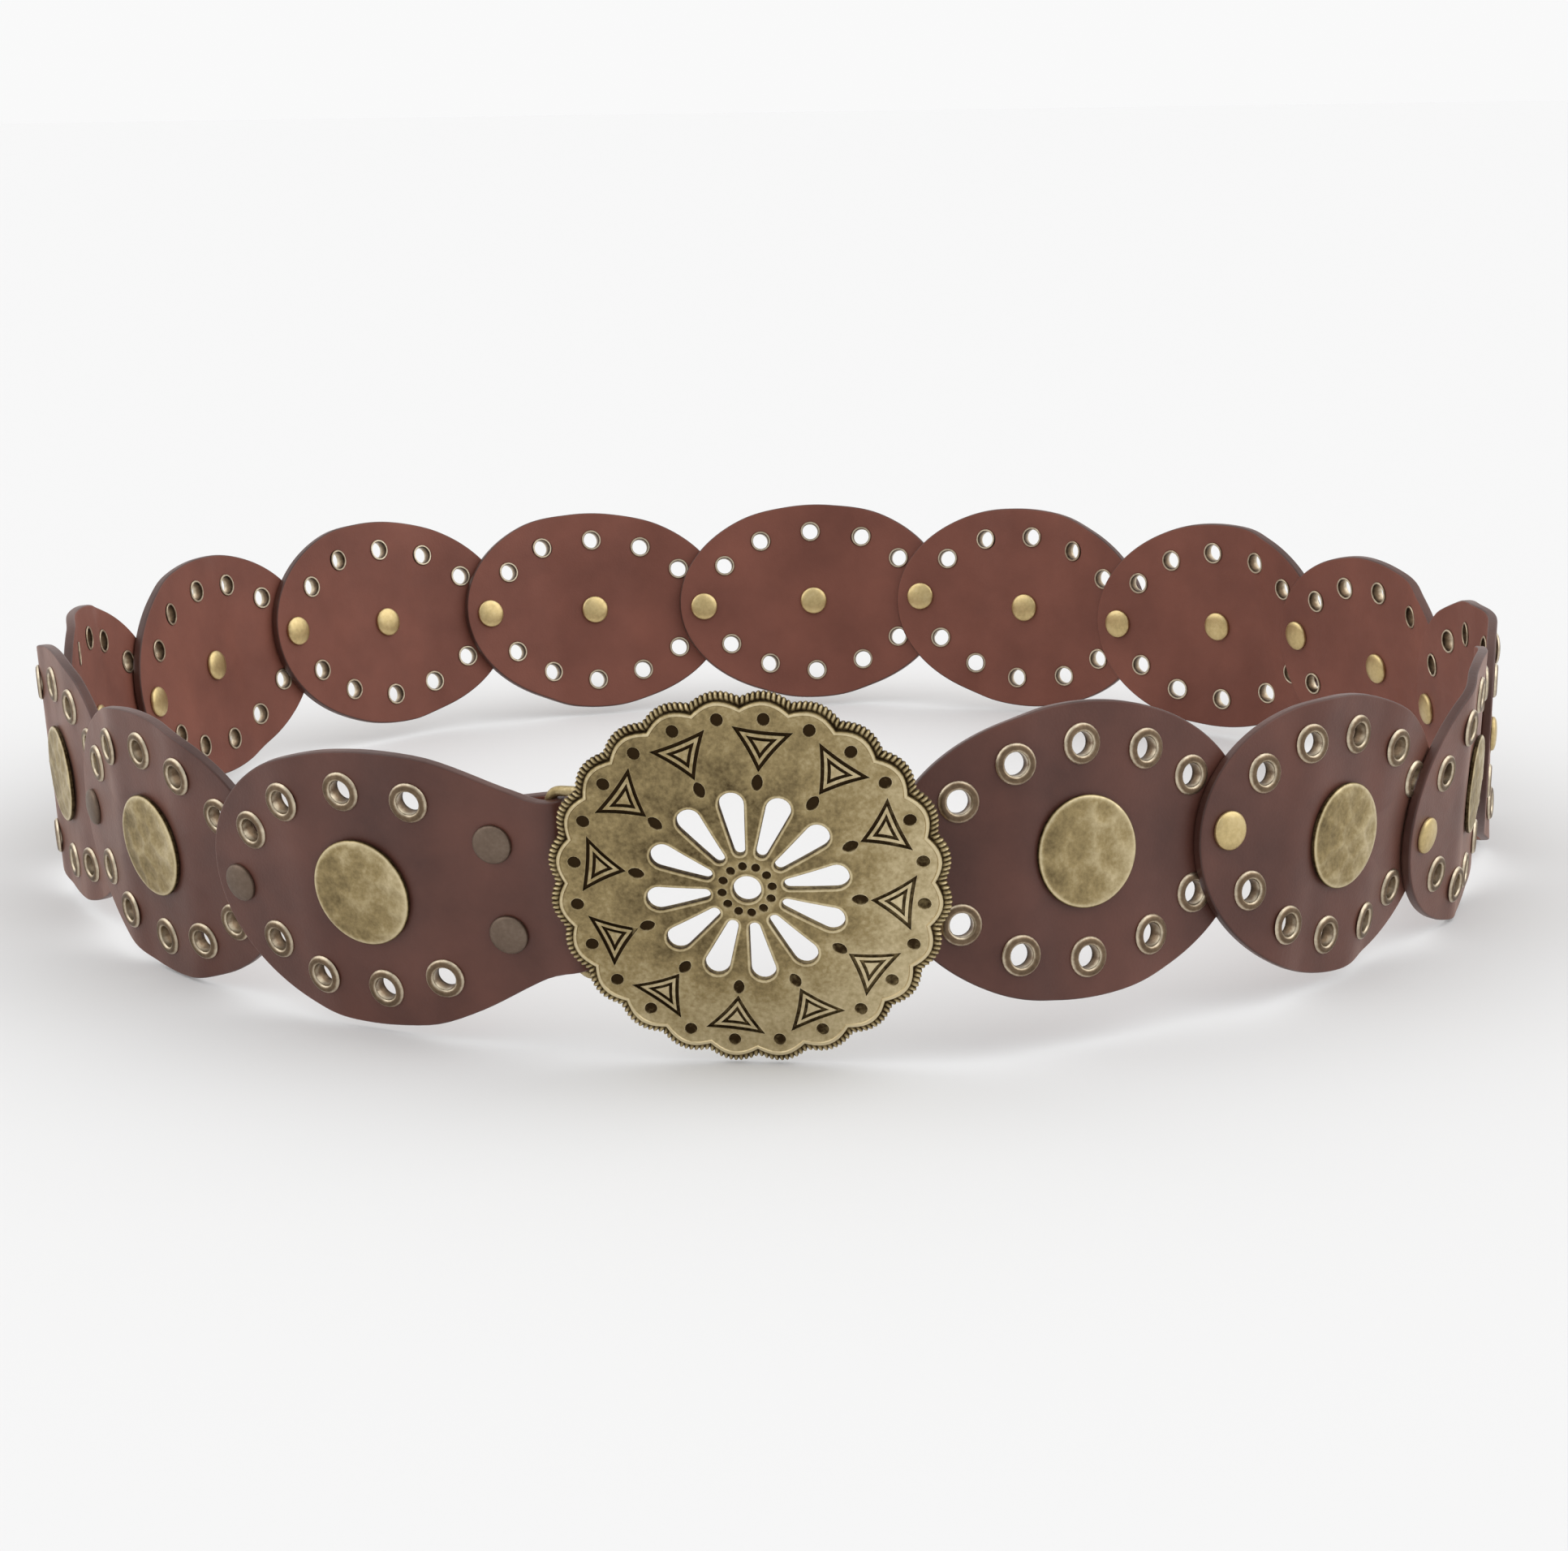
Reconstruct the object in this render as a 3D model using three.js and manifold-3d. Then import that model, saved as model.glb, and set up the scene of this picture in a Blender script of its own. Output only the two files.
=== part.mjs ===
// Wide western belt: fifteen oval leather discs riveted end to end, each with a round concho in its middle,
// closed into a round by a big pierced buckle. Millimetres, +Z up. The belt stands on its lower edge,
// the buckle faces -Y, and the discs are counted from the buckle by the left side and the back.
import * as THREE from 'three';
import { mergeVertices } from 'three/addons/utils/BufferGeometryUtils.js';
import Module from 'manifold-3d';

const wasm = await Module();
wasm.setup();

// Leather discs
const DISC_LENGTH = 91.5;
const DISC_HEIGHT = 66;
const LEATHER = 2.5;
const LAP_GAP = 0.4; // air between two discs where one laps the other
const RIVET_PITCH = 75.2;
const HOOK_X = -RIVET_PITCH / 2; // the far end's hole, from the middle of a disc
const OUTLINE_SIDES = 24;

// Eyelet holes, five along the top and five along the bottom of a disc, on a smaller oval
const HOLE_OVAL = { across: 35.5, up: 23.7 };
const HOLE_STEP_DEG = 27.8;
const EYELET_HOLE = 6;

// The round that the belt makes, and where it stands in the frame of the part
const LOOP_RADIUS = 192.7;
const FIRST_JOINT_DEG = 16.6;
const LOOP_CENTRE = new THREE.Vector3(0.47, 3.73, 0.12);
const MID_HEIGHT = DISC_HEIGHT / 2;

// One row a joint, from the buckle's wire loop round to the buckle's hook: how high the rivet is,
// how far the leather leans there (degrees, top outwards) and how far the round swells out
const JOINTS = [
  { height: 38.2, lean: 8.6, swell: 2.5 },
  { height: 31.4, lean: 9.6, swell: -0.3 },
  { height: 35.2, lean: 4.3, swell: -2.9 },
  { height: 36.6, lean: 2.4, swell: 0.1 },
  { height: 31.1, lean: 8.6, swell: 0.3 },
  { height: 39.8, lean: 10.1, swell: 1.1 },
  { height: 35.7, lean: 15.2, swell: 0.9 },
  { height: 33.3, lean: 15.8, swell: -1.4 },
  { height: 36.4, lean: 12.9, swell: 0.7 },
  { height: 33.2, lean: 2, swell: -4.3 },
  { height: 38.7, lean: -5.5, swell: -1.5 },
  { height: 29.4, lean: -5.9, swell: 0 },
  { height: 38.2, lean: 1.1, swell: -0.8 },
  { height: 28.8, lean: 6.7, swell: 0.4 },
  { height: 43, lean: -3.6, swell: -0.6 },
  { height: 43.3, lean: -6.7, swell: 1.7 },
];

// Along a disc, from its middle: flat to MIDDLE_X, bent on to BEND_X, and flat from there to the tip.
// The middle stands out by CROWN from the line between the two bends.
const MIDDLE_X = 7.5;
const BEND_X = 22.5;
const CROWN = 1.45;

// Metal: a post through the leather between two caps
const POST = 3;
const POST_HOLE = 4.2;
const METAL_GAP = 0.35;
const CAP = { across: 9, rim: 0.9, crown: 1.3 };
const CAP_SIDES = 8;
const CONCHO = { across: 25, thick: 1.4 };
const CONCHO_SIDES = 12;

// The first disc narrows into a strap that folds round the buckle's wire loop and is riveted to itself
const STRAP_HALF = 20;
const STRAP_RIVETS = { x: 34, heights: [10.7, -10.7] };
const STRAP_FLAT_END = 39;
const FOLD_X = 47.8;
const FOLD_SWELL = 1.2;
const FOLD_STEPS = 6;
const FOLD_OVERLAP = { along: 1.5, depth: 0.1 };
const TAIL_X = 26;
const NECK = { from: 0, to: 50, power: 1.4 };

// How the strap's outer layer rises over the wire, and how the tail comes back to lie flat inside it:
// along is from the strap rivets, depth from where the layer lies flat
const STRAP_RISE = [{ along: 4, depth: 0 }, { along: 6, depth: 0 }, { along: 10, depth: 0.9 }];
const TAIL_RETURN = [{ along: 10, depth: -1 }, { along: 6, depth: 0 }];

// Buckle plate: 24 scallops, 12 pierced slots round a hub hole, a lower rope border round the edge
const BUCKLE_AT = { x: -5.24, y: -202.03, z: 42.7 };
const BUCKLE_YAW_DEG = -5.9;
const BUCKLE_LEAN_DEG = 9.2;
const BUCKLE_TURN_DEG = 6.6;
const BORDER = { radius: 43.6, inner: 38, scallop: 1.3, top: -0.7, back: -2.3 };
const PLATE = { radius: 41.3, scallop: 1.7, thick: 1.8 };
const SCALLOPS = 24;
const DOME = { hub: 3.5, foot: 40, power: 1.6 };
const HUB_HOLE = 6.3;
const SLOTS = 12;
const SLOT = { inner: 8.9, innerRadius: 1.2, outer: 18.7, outerRadius: 2.7 };

// Wire loop and hook on the buckle's back
const WIRE = 2.3;
const WIRE_SIDES = 6;
const WIRE_SEAT = 0.3; // how deep the loop's hinge leg is soldered into the plate's back
const WIRE_LOOP_HALF = 21.6;
const HINGE_X = -24;
const LUG = { wide: 5, tall: 6, deep: 4.6, y: 9, z: -1.4 };
const HOOK = { inside: 2.2, tip: 6 };

const LEATHER_FINISH = { color: 0x6b4a43, roughness: 0.55, metalness: 0 };
const BRASS_FINISH = { color: 0x9c8b5e, roughness: 0.4, metalness: 1 };
const RIVET_FINISH = { color: 0x8a7a58, roughness: 0.38, metalness: 1 };

const DEG = Math.PI / 180;
const LAP = (LEATHER + LAP_GAP) / 2;
const CUTTER_DEPTH = 8 * LEATHER;
const UPRIGHT = new THREE.Vector3(0, 0, 1);

// A closed geometry as a solid that can be joined and cut
function solid(geometry) {
  const bare = geometry.clone();
  bare.deleteAttribute('normal');
  bare.deleteAttribute('uv');
  const merged = mergeVertices(bare, 1e-4);
  return new wasm.Manifold(new wasm.Mesh({
    numProp: 3,
    vertProperties: new Float32Array(merged.attributes.position.array),
    triVerts: new Uint32Array(merged.index.array),
  }));
}

// A solid as a geometry with flat faces
function geometryOf(shape) {
  const mesh = shape.getMesh();
  const geometry = new THREE.BufferGeometry();
  geometry.setAttribute('position', new THREE.BufferAttribute(new Float32Array(mesh.vertProperties), 3));
  geometry.setIndex(new THREE.BufferAttribute(new Uint32Array(mesh.triVerts), 1));
  geometry.computeVertexNormals();
  return geometry;
}

// The joints, each with its point on the belt's round and its directions: along to the right as seen from
// outside, up the leather, and out of it. Neighbours are one rivet pitch apart along the leather.
function layOutJoints() {
  let angle = FIRST_JOINT_DEG * DEG;
  return JOINTS.map((row, index) => {
    if (index > 0) {
      angle += RIVET_PITCH * Math.cos(rollBetween(JOINTS[index - 1], row)) / LOOP_RADIUS;
    }
    const lean = row.lean * DEG;
    const radial = new THREE.Vector3(-Math.sin(angle), -Math.cos(angle), 0);
    const along = new THREE.Vector3(Math.cos(angle), -Math.sin(angle), 0);
    const up = radial.clone().multiplyScalar(Math.sin(lean)).addScaledVector(UPRIGHT, Math.cos(lean));
    const out = along.clone().cross(up);
    const middle = LOOP_CENTRE.clone().addScaledVector(UPRIGHT, MID_HEIGHT);
    const point = middle.addScaledVector(radial, LOOP_RADIUS + row.swell).addScaledVector(up, row.height - MID_HEIGHT);
    return { height: row.height, along, up, out, point };
  });
}

// How far a disc is turned in its own plane, from the heights of its two rivets
function rollBetween(start, end) {
  return Math.asin((start.height - end.height) / RIVET_PITCH);
}

// One disc: flat at both joints and in the middle. Each flat is a frame that takes the disc's own X (right),
// Y (up) and depth (out) to its place. The first joint lies under the disc before it, the last over the next.
function discPlan(start, end) {
  const roll = rollBetween(start, end);
  const flatAt = (joint, rivetX, lap) => {
    const across = joint.along.clone().multiplyScalar(Math.cos(roll)).addScaledVector(joint.up, Math.sin(roll));
    const upwards = joint.out.clone().cross(across);
    const origin = joint.point.clone().addScaledVector(across, -rivetX).addScaledVector(joint.out, lap);
    return new THREE.Matrix4().makeBasis(across, upwards, joint.out.clone()).setPosition(origin);
  };
  const first = flatAt(start, RIVET_PITCH / 2, -LAP);
  const last = flatAt(end, -RIVET_PITCH / 2, LAP);
  const rightBend = new THREE.Vector3(BEND_X, 0, 0).applyMatrix4(first);
  const leftBend = new THREE.Vector3(-BEND_X, 0, 0).applyMatrix4(last);
  const across = rightBend.clone().sub(leftBend).normalize();
  const out = across.clone().cross(start.up.clone().add(end.up)).normalize();
  const origin = rightBend.clone().add(leftBend).multiplyScalar(0.5).addScaledVector(out, CROWN);
  const middle = new THREE.Matrix4().makeBasis(across, out.clone().cross(across), out).setPosition(origin);
  return { first, middle, last };
}

// The place in the belt of a point of the flat disc: x to the right as seen from outside, y up
function place(plan, x, y, depth) {
  const on = (flat, flatX) => new THREE.Vector3(flatX, y, depth).applyMatrix4(flat);
  const tip = x > 0 ? plan.first : plan.last;
  const side = Math.sign(x);
  if (Math.abs(x) >= BEND_X) {
    return on(tip, x);
  }
  if (Math.abs(x) <= MIDDLE_X) {
    return on(plan.middle, x);
  }
  const share = (Math.abs(x) - MIDDLE_X) / (BEND_X - MIDDLE_X);
  return on(plan.middle, side * MIDDLE_X).lerp(on(tip, side * BEND_X), share);
}

// A frame on the leather there: X to the right, Y up, Z outwards
function frameOn(plan, x, y, depth = 0) {
  const across = place(plan, x + 0.5, y, 0).sub(place(plan, x - 0.5, y, 0));
  const upwards = place(plan, x, y + 0.5, 0).sub(place(plan, x, y - 0.5, 0));
  const outwards = across.clone().cross(upwards).normalize();
  across.normalize();
  const matrix = new THREE.Matrix4().makeBasis(across, outwards.clone().cross(across), outwards);
  return matrix.setPosition(place(plan, x, y, 0).addScaledVector(outwards, depth));
}

// The half height of a disc at a distance from its middle: oval, or on the first disc's right side a cosine
// that narrows from the oval to the strap
function halfHeight(x, isFirst) {
  if (isFirst && x > NECK.from) {
    const share = Math.min((x - NECK.from) / (NECK.to - NECK.from), 1);
    return STRAP_HALF + (DISC_HEIGHT / 2 - STRAP_HALF) * (1 + Math.cos(Math.PI * share ** NECK.power)) / 2;
  }
  return DISC_HEIGHT / 2 * Math.sqrt(Math.max(1 - (2 * x / DISC_LENGTH) ** 2, 0));
}

// The outline between two places along a disc, with the holes that fall there
function stripOutline(left, right, isFirst, holes) {
  const places = new Set([left, right]);
  for (let side = 0; side <= OUTLINE_SIDES / 2; side += 1) {
    places.add(-DISC_LENGTH / 2 * Math.cos(side * 2 * Math.PI / OUTLINE_SIDES));
  }
  const inside = [...places].filter((x) => x >= left && x <= right).sort((a, b) => a - b);
  const upper = inside.map((x) => new THREE.Vector2(x, halfHeight(x, isFirst)));
  const lower = inside.map((x) => new THREE.Vector2(x, -halfHeight(x, isFirst))).filter((point) => point.y < -1e-6);
  const shape = new THREE.Shape([...lower, ...upper.reverse()]);
  shape.holes = holes.filter(([x]) => x > left && x < right).map(([x, y, diameter]) => roundHole(x, y, diameter));
  return shape;
}

// A disc in its strips, each bent into place and joined to the last
function bendDisc(plan, isFirst, holes) {
  const rightEnd = isFirst ? STRAP_FLAT_END : DISC_LENGTH / 2;
  const lines = [-DISC_LENGTH / 2, -BEND_X, -MIDDLE_X, MIDDLE_X, BEND_X, rightEnd];
  let bent = null;
  for (let index = 0; index < lines.length - 1; index += 1) {
    const strip = sheet(stripOutline(lines[index], lines[index + 1], isFirst, holes));
    const position = strip.attributes.position;
    for (let corner = 0; corner < position.count; corner += 1) {
      const moved = place(plan, position.getX(corner), position.getY(corner), position.getZ(corner));
      position.setXYZ(corner, moved.x, moved.y, moved.z);
    }
    bent = bent ? bent.add(solid(strip)) : solid(strip);
  }
  // Rounding can leave an empty sliver where two strips meet
  return bent.decompose().sort((a, b) => b.volume() - a.volume())[0];
}

// A round hole, six sided, of an outline
function roundHole(x, y, diameter) {
  const radius = diameter / 2 / Math.cos(Math.PI / 6);
  const corners = [];
  for (let corner = 0; corner < 6; corner += 1) {
    const turn = corner * Math.PI / 3;
    corners.push(new THREE.Vector2(x + radius * Math.cos(turn), y + radius * Math.sin(turn)));
  }
  return new THREE.Path(corners);
}

// A sheet as thick as the leather, or deeper for a cutter, centred on the X-Y plane
function sheet(shape, depth = LEATHER) {
  const geometry = new THREE.ExtrudeGeometry(shape, { depth, bevelEnabled: false, curveSegments: 6 });
  return geometry.translate(0, 0, -depth / 2);
}

// Where the eyelets of a disc go. The strap end of the first disc has none.
function eyeletPlaces(isFirst) {
  const places = [];
  for (let step = -2; step <= (isFirst ? 1 : 2); step += 1) {
    const turn = step * HOLE_STEP_DEG * DEG;
    const x = HOLE_OVAL.across * Math.sin(turn);
    const y = HOLE_OVAL.up * Math.cos(turn);
    places.push([x, y], [x, -y]);
  }
  return places;
}

// A ribbon of leather along a line of points in the X-Z plane, as wide as the strap
function ribbon(line, halfWidth) {
  const edge = (side) => line.map((point, index) => {
    const before = line[Math.max(index - 1, 0)];
    const after = line[Math.min(index + 1, line.length - 1)];
    const along = after.clone().sub(before).normalize();
    return new THREE.Vector2(point.x - along.y * side, point.y + along.x * side);
  });
  const outline = new THREE.Shape([...edge(LEATHER / 2), ...edge(-LEATHER / 2).reverse()]);
  const geometry = new THREE.ExtrudeGeometry(outline, { depth: 2 * halfWidth, bevelEnabled: false });
  geometry.rotateX(Math.PI / 2);
  geometry.translate(0, halfWidth, 0);
  return geometry;
}

// The outer layer of the strap swells over the wire, and the inner layer comes back from the fold to the rivets
function strapLayers() {
  const fold = FOLD_X - STRAP_RIVETS.x;
  const turnRadius = WIRE / 2 + METAL_GAP + LEATHER / 2;
  const wireDepth = FOLD_SWELL - turnRadius;
  const innerDepth = -LEATHER - LAP_GAP;
  const outer = STRAP_RISE.map((row) => new THREE.Vector2(row.along, row.depth));
  outer.push(new THREE.Vector2(fold, FOLD_SWELL));
  const inner = [new THREE.Vector2(fold - FOLD_OVERLAP.along, FOLD_SWELL - FOLD_OVERLAP.depth)];
  for (let step = 0; step <= FOLD_STEPS; step += 1) {
    const turn = (0.5 - step / FOLD_STEPS) * Math.PI;
    inner.push(new THREE.Vector2(fold + turnRadius * Math.cos(turn), wireDepth + turnRadius * Math.sin(turn)));
  }
  TAIL_RETURN.forEach((row) => inner.push(new THREE.Vector2(row.along, innerDepth + row.depth)));
  inner.push(new THREE.Vector2(TAIL_X - STRAP_RIVETS.x, innerDepth));
  return { outer, inner, wire: new THREE.Vector3(fold, 0, wireDepth), innerDepth };
}

// The folded end of the strap, in the frame at its rivets: the outer layer is cut to the strap's outline
function strapEnd() {
  const outline = sheet(stripOutline(BEND_X, FOLD_X, true, []), CUTTER_DEPTH).translate(-STRAP_RIVETS.x, 0, 0);
  const outer = solid(ribbon(strap.outer, MID_HEIGHT)).intersect(solid(outline));
  let inner = solid(ribbon(strap.inner, STRAP_HALF));
  STRAP_RIVETS.heights.forEach((y) => {
    const hole = sheet(new THREE.Shape(roundHole(0, y, POST_HOLE).getPoints()), CUTTER_DEPTH);
    inner = inner.subtract(solid(hole));
  });
  return solid(geometryOf(outer.add(inner)).applyMatrix4(strapFrame));
}

const joints = layOutJoints();
const plans = joints.slice(1).map((end, index) => discPlan(joints[index], end));
const strap = strapLayers();
const strapFrame = frameOn(plans[0], STRAP_RIVETS.x, 0);

function discGeometry(plan, number) {
  const isFirst = number === 1;
  const holes = eyeletPlaces(isFirst).map(([x, y]) => [x, y, EYELET_HOLE]);
  holes.push([0, 0, POST_HOLE], [HOOK_X, 0, number === plans.length ? EYELET_HOLE : POST_HOLE]);
  if (isFirst) {
    STRAP_RIVETS.heights.forEach((y) => holes.push([STRAP_RIVETS.x, y, POST_HOLE]));
  } else {
    holes.push([-HOOK_X, 0, POST_HOLE]);
  }
  const bent = bendDisc(plan, isFirst, holes);
  return geometryOf(isFirst ? bent.add(strapEnd()) : bent);
}

// A turned piece: its profile runs from the bottom of its axis to the top, as radius and height
function turned(profile, sides) {
  const points = profile.map(([radius, height]) => new THREE.Vector2(radius, height));
  const geometry = new THREE.LatheGeometry(points, sides);
  geometry.rotateX(Math.PI / 2);
  return geometryOf(solid(geometry));
}

// The inner cap of a post, from its crown up to where the post leaves it, below the leather's inner face
function innerCap(face) {
  return [
    [0, face - METAL_GAP - CAP.crown],
    [CAP.across / 2, face - METAL_GAP - CAP.rim],
    [CAP.across / 2, face - METAL_GAP],
    [POST / 2, face - METAL_GAP],
  ];
}

// A rivet: two caps on a post, clear of the outer and the inner face of what it holds
function rivetGeometry(outerFace, innerFace) {
  const outerCap = innerCap(-outerFace).reverse().map(([radius, height]) => [radius, -height]);
  return turned([...innerCap(innerFace), ...outerCap], CAP_SIDES);
}

// A concho: a flat round plate on a post with a cap inside the belt
function conchoGeometry() {
  const back = LEATHER / 2 + METAL_GAP;
  const profile = innerCap(-LEATHER / 2);
  profile.push([POST / 2, back], [CONCHO.across / 2, back], [CONCHO.across / 2, back + CONCHO.thick]);
  profile.push([0, back + CONCHO.thick]);
  return turned(profile, CONCHO_SIDES);
}

// A scalloped outline: lobes that meet in valleys, three points to a lobe
function scalloped(radius, depth) {
  const points = [];
  for (let point = 0; point < SCALLOPS * 3; point += 1) {
    const share = (point % 3) / 3;
    const lobe = Math.sin(share * Math.PI) / Math.sin(Math.PI / 3);
    const turn = ((point / 3 - 0.5) * 360 / SCALLOPS - BUCKLE_TURN_DEG) * DEG;
    const reach = radius - depth * (1 - lobe);
    points.push(new THREE.Vector2(reach * Math.sin(-turn), reach * Math.cos(turn)));
  }
  return new THREE.Shape(points);
}

// A pierced slot: a teardrop that widens outwards
function slotHole(turn) {
  const slant = Math.asin((SLOT.outerRadius - SLOT.innerRadius) / (SLOT.outer - SLOT.inner));
  const points = [];
  const arc = (centre, radius, from, to, steps) => {
    for (let step = 0; step <= steps; step += 1) {
      const angle = from + (to - from) * step / steps;
      points.push(new THREE.Vector2(radius * Math.cos(angle), centre + radius * Math.sin(angle)));
    }
  };
  arc(SLOT.outer, SLOT.outerRadius, -slant, Math.PI + slant, 3);
  arc(SLOT.inner, SLOT.innerRadius, Math.PI + slant, 2 * Math.PI - slant, 1);
  return new THREE.Path(points.map((point) => point.rotateAround(new THREE.Vector2(), turn)));
}

// The height of the plate's face: a dome with a broad top that flattens towards the rim
function domeHeight(radius) {
  const share = Math.min(radius / DOME.foot, 1) ** DOME.power;
  return DOME.hub * (1 + Math.cos(Math.PI * share)) / 2;
}

function plateSolid() {
  const outline = scalloped(PLATE.radius, PLATE.scallop);
  for (let slot = 0; slot < SLOTS; slot += 1) {
    outline.holes.push(slotHole(((slot + 0.5) * 360 / SLOTS - BUCKLE_TURN_DEG) * DEG));
  }
  const hub = new THREE.Path();
  hub.absarc(0, 0, HUB_HOLE / 2, 0, 2 * Math.PI, true);
  outline.holes.push(hub);
  const plate = new THREE.ExtrudeGeometry(outline, { depth: PLATE.thick, bevelEnabled: false, curveSegments: 6 });
  const position = plate.attributes.position;
  for (let index = 0; index < position.count; index += 1) {
    const radius = Math.hypot(position.getX(index), position.getY(index));
    position.setZ(index, position.getZ(index) - PLATE.thick + domeHeight(radius));
  }
  return solid(plate);
}

// The rope border: a lower scalloped ring under the plate's edge
function borderSolid() {
  const outline = scalloped(BORDER.radius, BORDER.scallop);
  const inside = new THREE.Path();
  inside.absarc(0, 0, BORDER.inner, 0, 2 * Math.PI, true);
  outline.holes.push(inside);
  const depth = BORDER.top - BORDER.back;
  const border = new THREE.ExtrudeGeometry(outline, { depth, bevelEnabled: false, curveSegments: 6 });
  border.translate(0, 0, BORDER.back);
  return solid(border);
}

// A straight round rod from one point to another
function rod(from, to, diameter) {
  const along = to.clone().sub(from);
  const geometry = new THREE.CylinderGeometry(diameter / 2, diameter / 2, along.length(), WIRE_SIDES);
  geometry.translate(0, along.length() / 2, 0);
  geometry.applyQuaternion(new THREE.Quaternion().setFromUnitVectors(THREE.Object3D.DEFAULT_UP, along.normalize()));
  geometry.translate(from.x, from.y, from.z);
  return solid(geometry);
}

const buckleFrame = new THREE.Object3D();
buckleFrame.position.set(LOOP_CENTRE.x + BUCKLE_AT.x, LOOP_CENTRE.y + BUCKLE_AT.y, LOOP_CENTRE.z + BUCKLE_AT.z);
buckleFrame.rotation.set((90 + BUCKLE_LEAN_DEG) * DEG, 0, BUCKLE_YAW_DEG * DEG, 'ZXY');
buckleFrame.updateMatrixWorld();

// The wire loop: one leg lies in the strap's fold, the other is held by two lugs on the plate's back
function wireLoopSolid() {
  const toBuckle = buckleFrame.matrixWorld.clone().invert();
  const at = (y) => strap.wire.clone().setY(y).applyMatrix4(strapFrame).applyMatrix4(toBuckle);
  const outerLeg = at(0);
  const upLeg = at(1).sub(outerLeg).normalize();
  const hinge = new THREE.Vector3(HINGE_X, outerLeg.y, -PLATE.thick - WIRE / 2 + WIRE_SEAT);
  hinge.addScaledVector(upLeg, outerLeg.clone().sub(hinge).dot(upLeg));
  const across = hinge.clone().sub(outerLeg);
  const ring = new THREE.TorusGeometry(WIRE, WIRE / Math.SQRT2, WIRE_SIDES, 4);
  ring.rotateZ(Math.PI / 4);
  ring.scale(1, 1, Math.SQRT1_2);
  const position = ring.attributes.position;
  const grow = [across.length() / 2 - WIRE / Math.SQRT2, WIRE_LOOP_HALF - WIRE / Math.SQRT2];
  for (let corner = 0; corner < position.count; corner += 1) {
    const [x, y] = [position.getX(corner), position.getY(corner)];
    position.setXY(corner, x + Math.sign(x) * grow[0], y + Math.sign(y) * grow[1]);
  }
  across.normalize();
  const frame = new THREE.Matrix4().makeBasis(across, upLeg, across.clone().cross(upLeg));
  frame.setPosition(outerLeg.add(hinge).multiplyScalar(0.5));
  let loop = solid(ring.applyMatrix4(frame));
  [LUG.y, -LUG.y].forEach((y) => {
    const lug = new THREE.BoxGeometry(LUG.wide, LUG.tall, LUG.deep);
    const middle = hinge.clone().addScaledVector(upLeg, y);
    loop = loop.add(solid(lug.translate(middle.x, middle.y, LUG.z)));
  });
  return loop;
}

// The hook: a plain post from the plate's back through the last disc, turned over inside
function hookSolid() {
  const toBuckle = buckleFrame.matrixWorld.clone().invert();
  const frame = frameOn(plans[plans.length - 1], HOOK_X, 0);
  const inside = -LEATHER / 2 - HOOK.inside;
  const at = (x, depth) => new THREE.Vector3(x, 0, depth).applyMatrix4(frame).applyMatrix4(toBuckle);
  const foot = at(0, inside);
  const direction = at(0, 1).sub(at(0, 0));
  const root = foot.clone().addScaledVector(direction, (-PLATE.thick / 2 - foot.z) / direction.z);
  const tip = at(-HOOK.tip, inside);
  const past = at(POST / 2, inside);
  return rod(foot, root, POST).add(rod(past, tip, POST));
}

function buckleGeometry() {
  return geometryOf(plateSolid().add(borderSolid()).add(wireLoopSolid()).add(hookSolid()));
}

const belt = new THREE.Group();

function addPiece(name, geometry, finish, frame) {
  const mesh = new THREE.Mesh(geometry, new THREE.MeshStandardMaterial(finish));
  mesh.name = name;
  if (frame) {
    frame.decompose(mesh.position, mesh.quaternion, mesh.scale);
  }
  belt.add(mesh);
}

plans.forEach((plan, index) => {
  const number = String(index + 1).padStart(2, '0');
  addPiece(`disc_${number}`, discGeometry(plan, index + 1), LEATHER_FINISH);
  addPiece(`concho_${number}`, conchoGeometry(), BRASS_FINISH, frameOn(plan, 0, 0));
  if (index < plans.length - 1) {
    const face = LAP + LEATHER / 2;
    addPiece(`joint_rivet_${number}`, rivetGeometry(face, -face), RIVET_FINISH, frameOn(plan, HOOK_X, 0, -LAP));
  }
});
['upper', 'lower'].forEach((which, index) => {
  const frame = frameOn(plans[0], STRAP_RIVETS.x, STRAP_RIVETS.heights[index]);
  const geometry = rivetGeometry(LEATHER / 2, strap.innerDepth - LEATHER / 2);
  addPiece(`strap_rivet_${which}`, geometry, RIVET_FINISH, frame);
});
addPiece('buckle', buckleGeometry(), BRASS_FINISH, buckleFrame.matrixWorld);

export default belt;
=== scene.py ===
import math
import random
from collections import namedtuple
from functools import partial

import bmesh
import bpy
from mathutils import Matrix, Vector


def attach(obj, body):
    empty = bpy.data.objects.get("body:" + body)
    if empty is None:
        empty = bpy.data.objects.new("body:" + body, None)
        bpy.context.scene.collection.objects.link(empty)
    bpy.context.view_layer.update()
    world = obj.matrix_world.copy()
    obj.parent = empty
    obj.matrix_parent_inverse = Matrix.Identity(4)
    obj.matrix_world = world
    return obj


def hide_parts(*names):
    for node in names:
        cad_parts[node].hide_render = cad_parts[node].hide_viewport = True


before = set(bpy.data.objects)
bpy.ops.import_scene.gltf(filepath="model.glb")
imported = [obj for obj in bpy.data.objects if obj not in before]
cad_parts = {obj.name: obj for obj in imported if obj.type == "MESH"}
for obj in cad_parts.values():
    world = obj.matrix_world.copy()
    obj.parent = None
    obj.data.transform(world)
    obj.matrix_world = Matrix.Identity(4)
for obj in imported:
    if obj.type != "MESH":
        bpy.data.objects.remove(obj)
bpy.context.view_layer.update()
scene = bpy.context.scene

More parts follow.
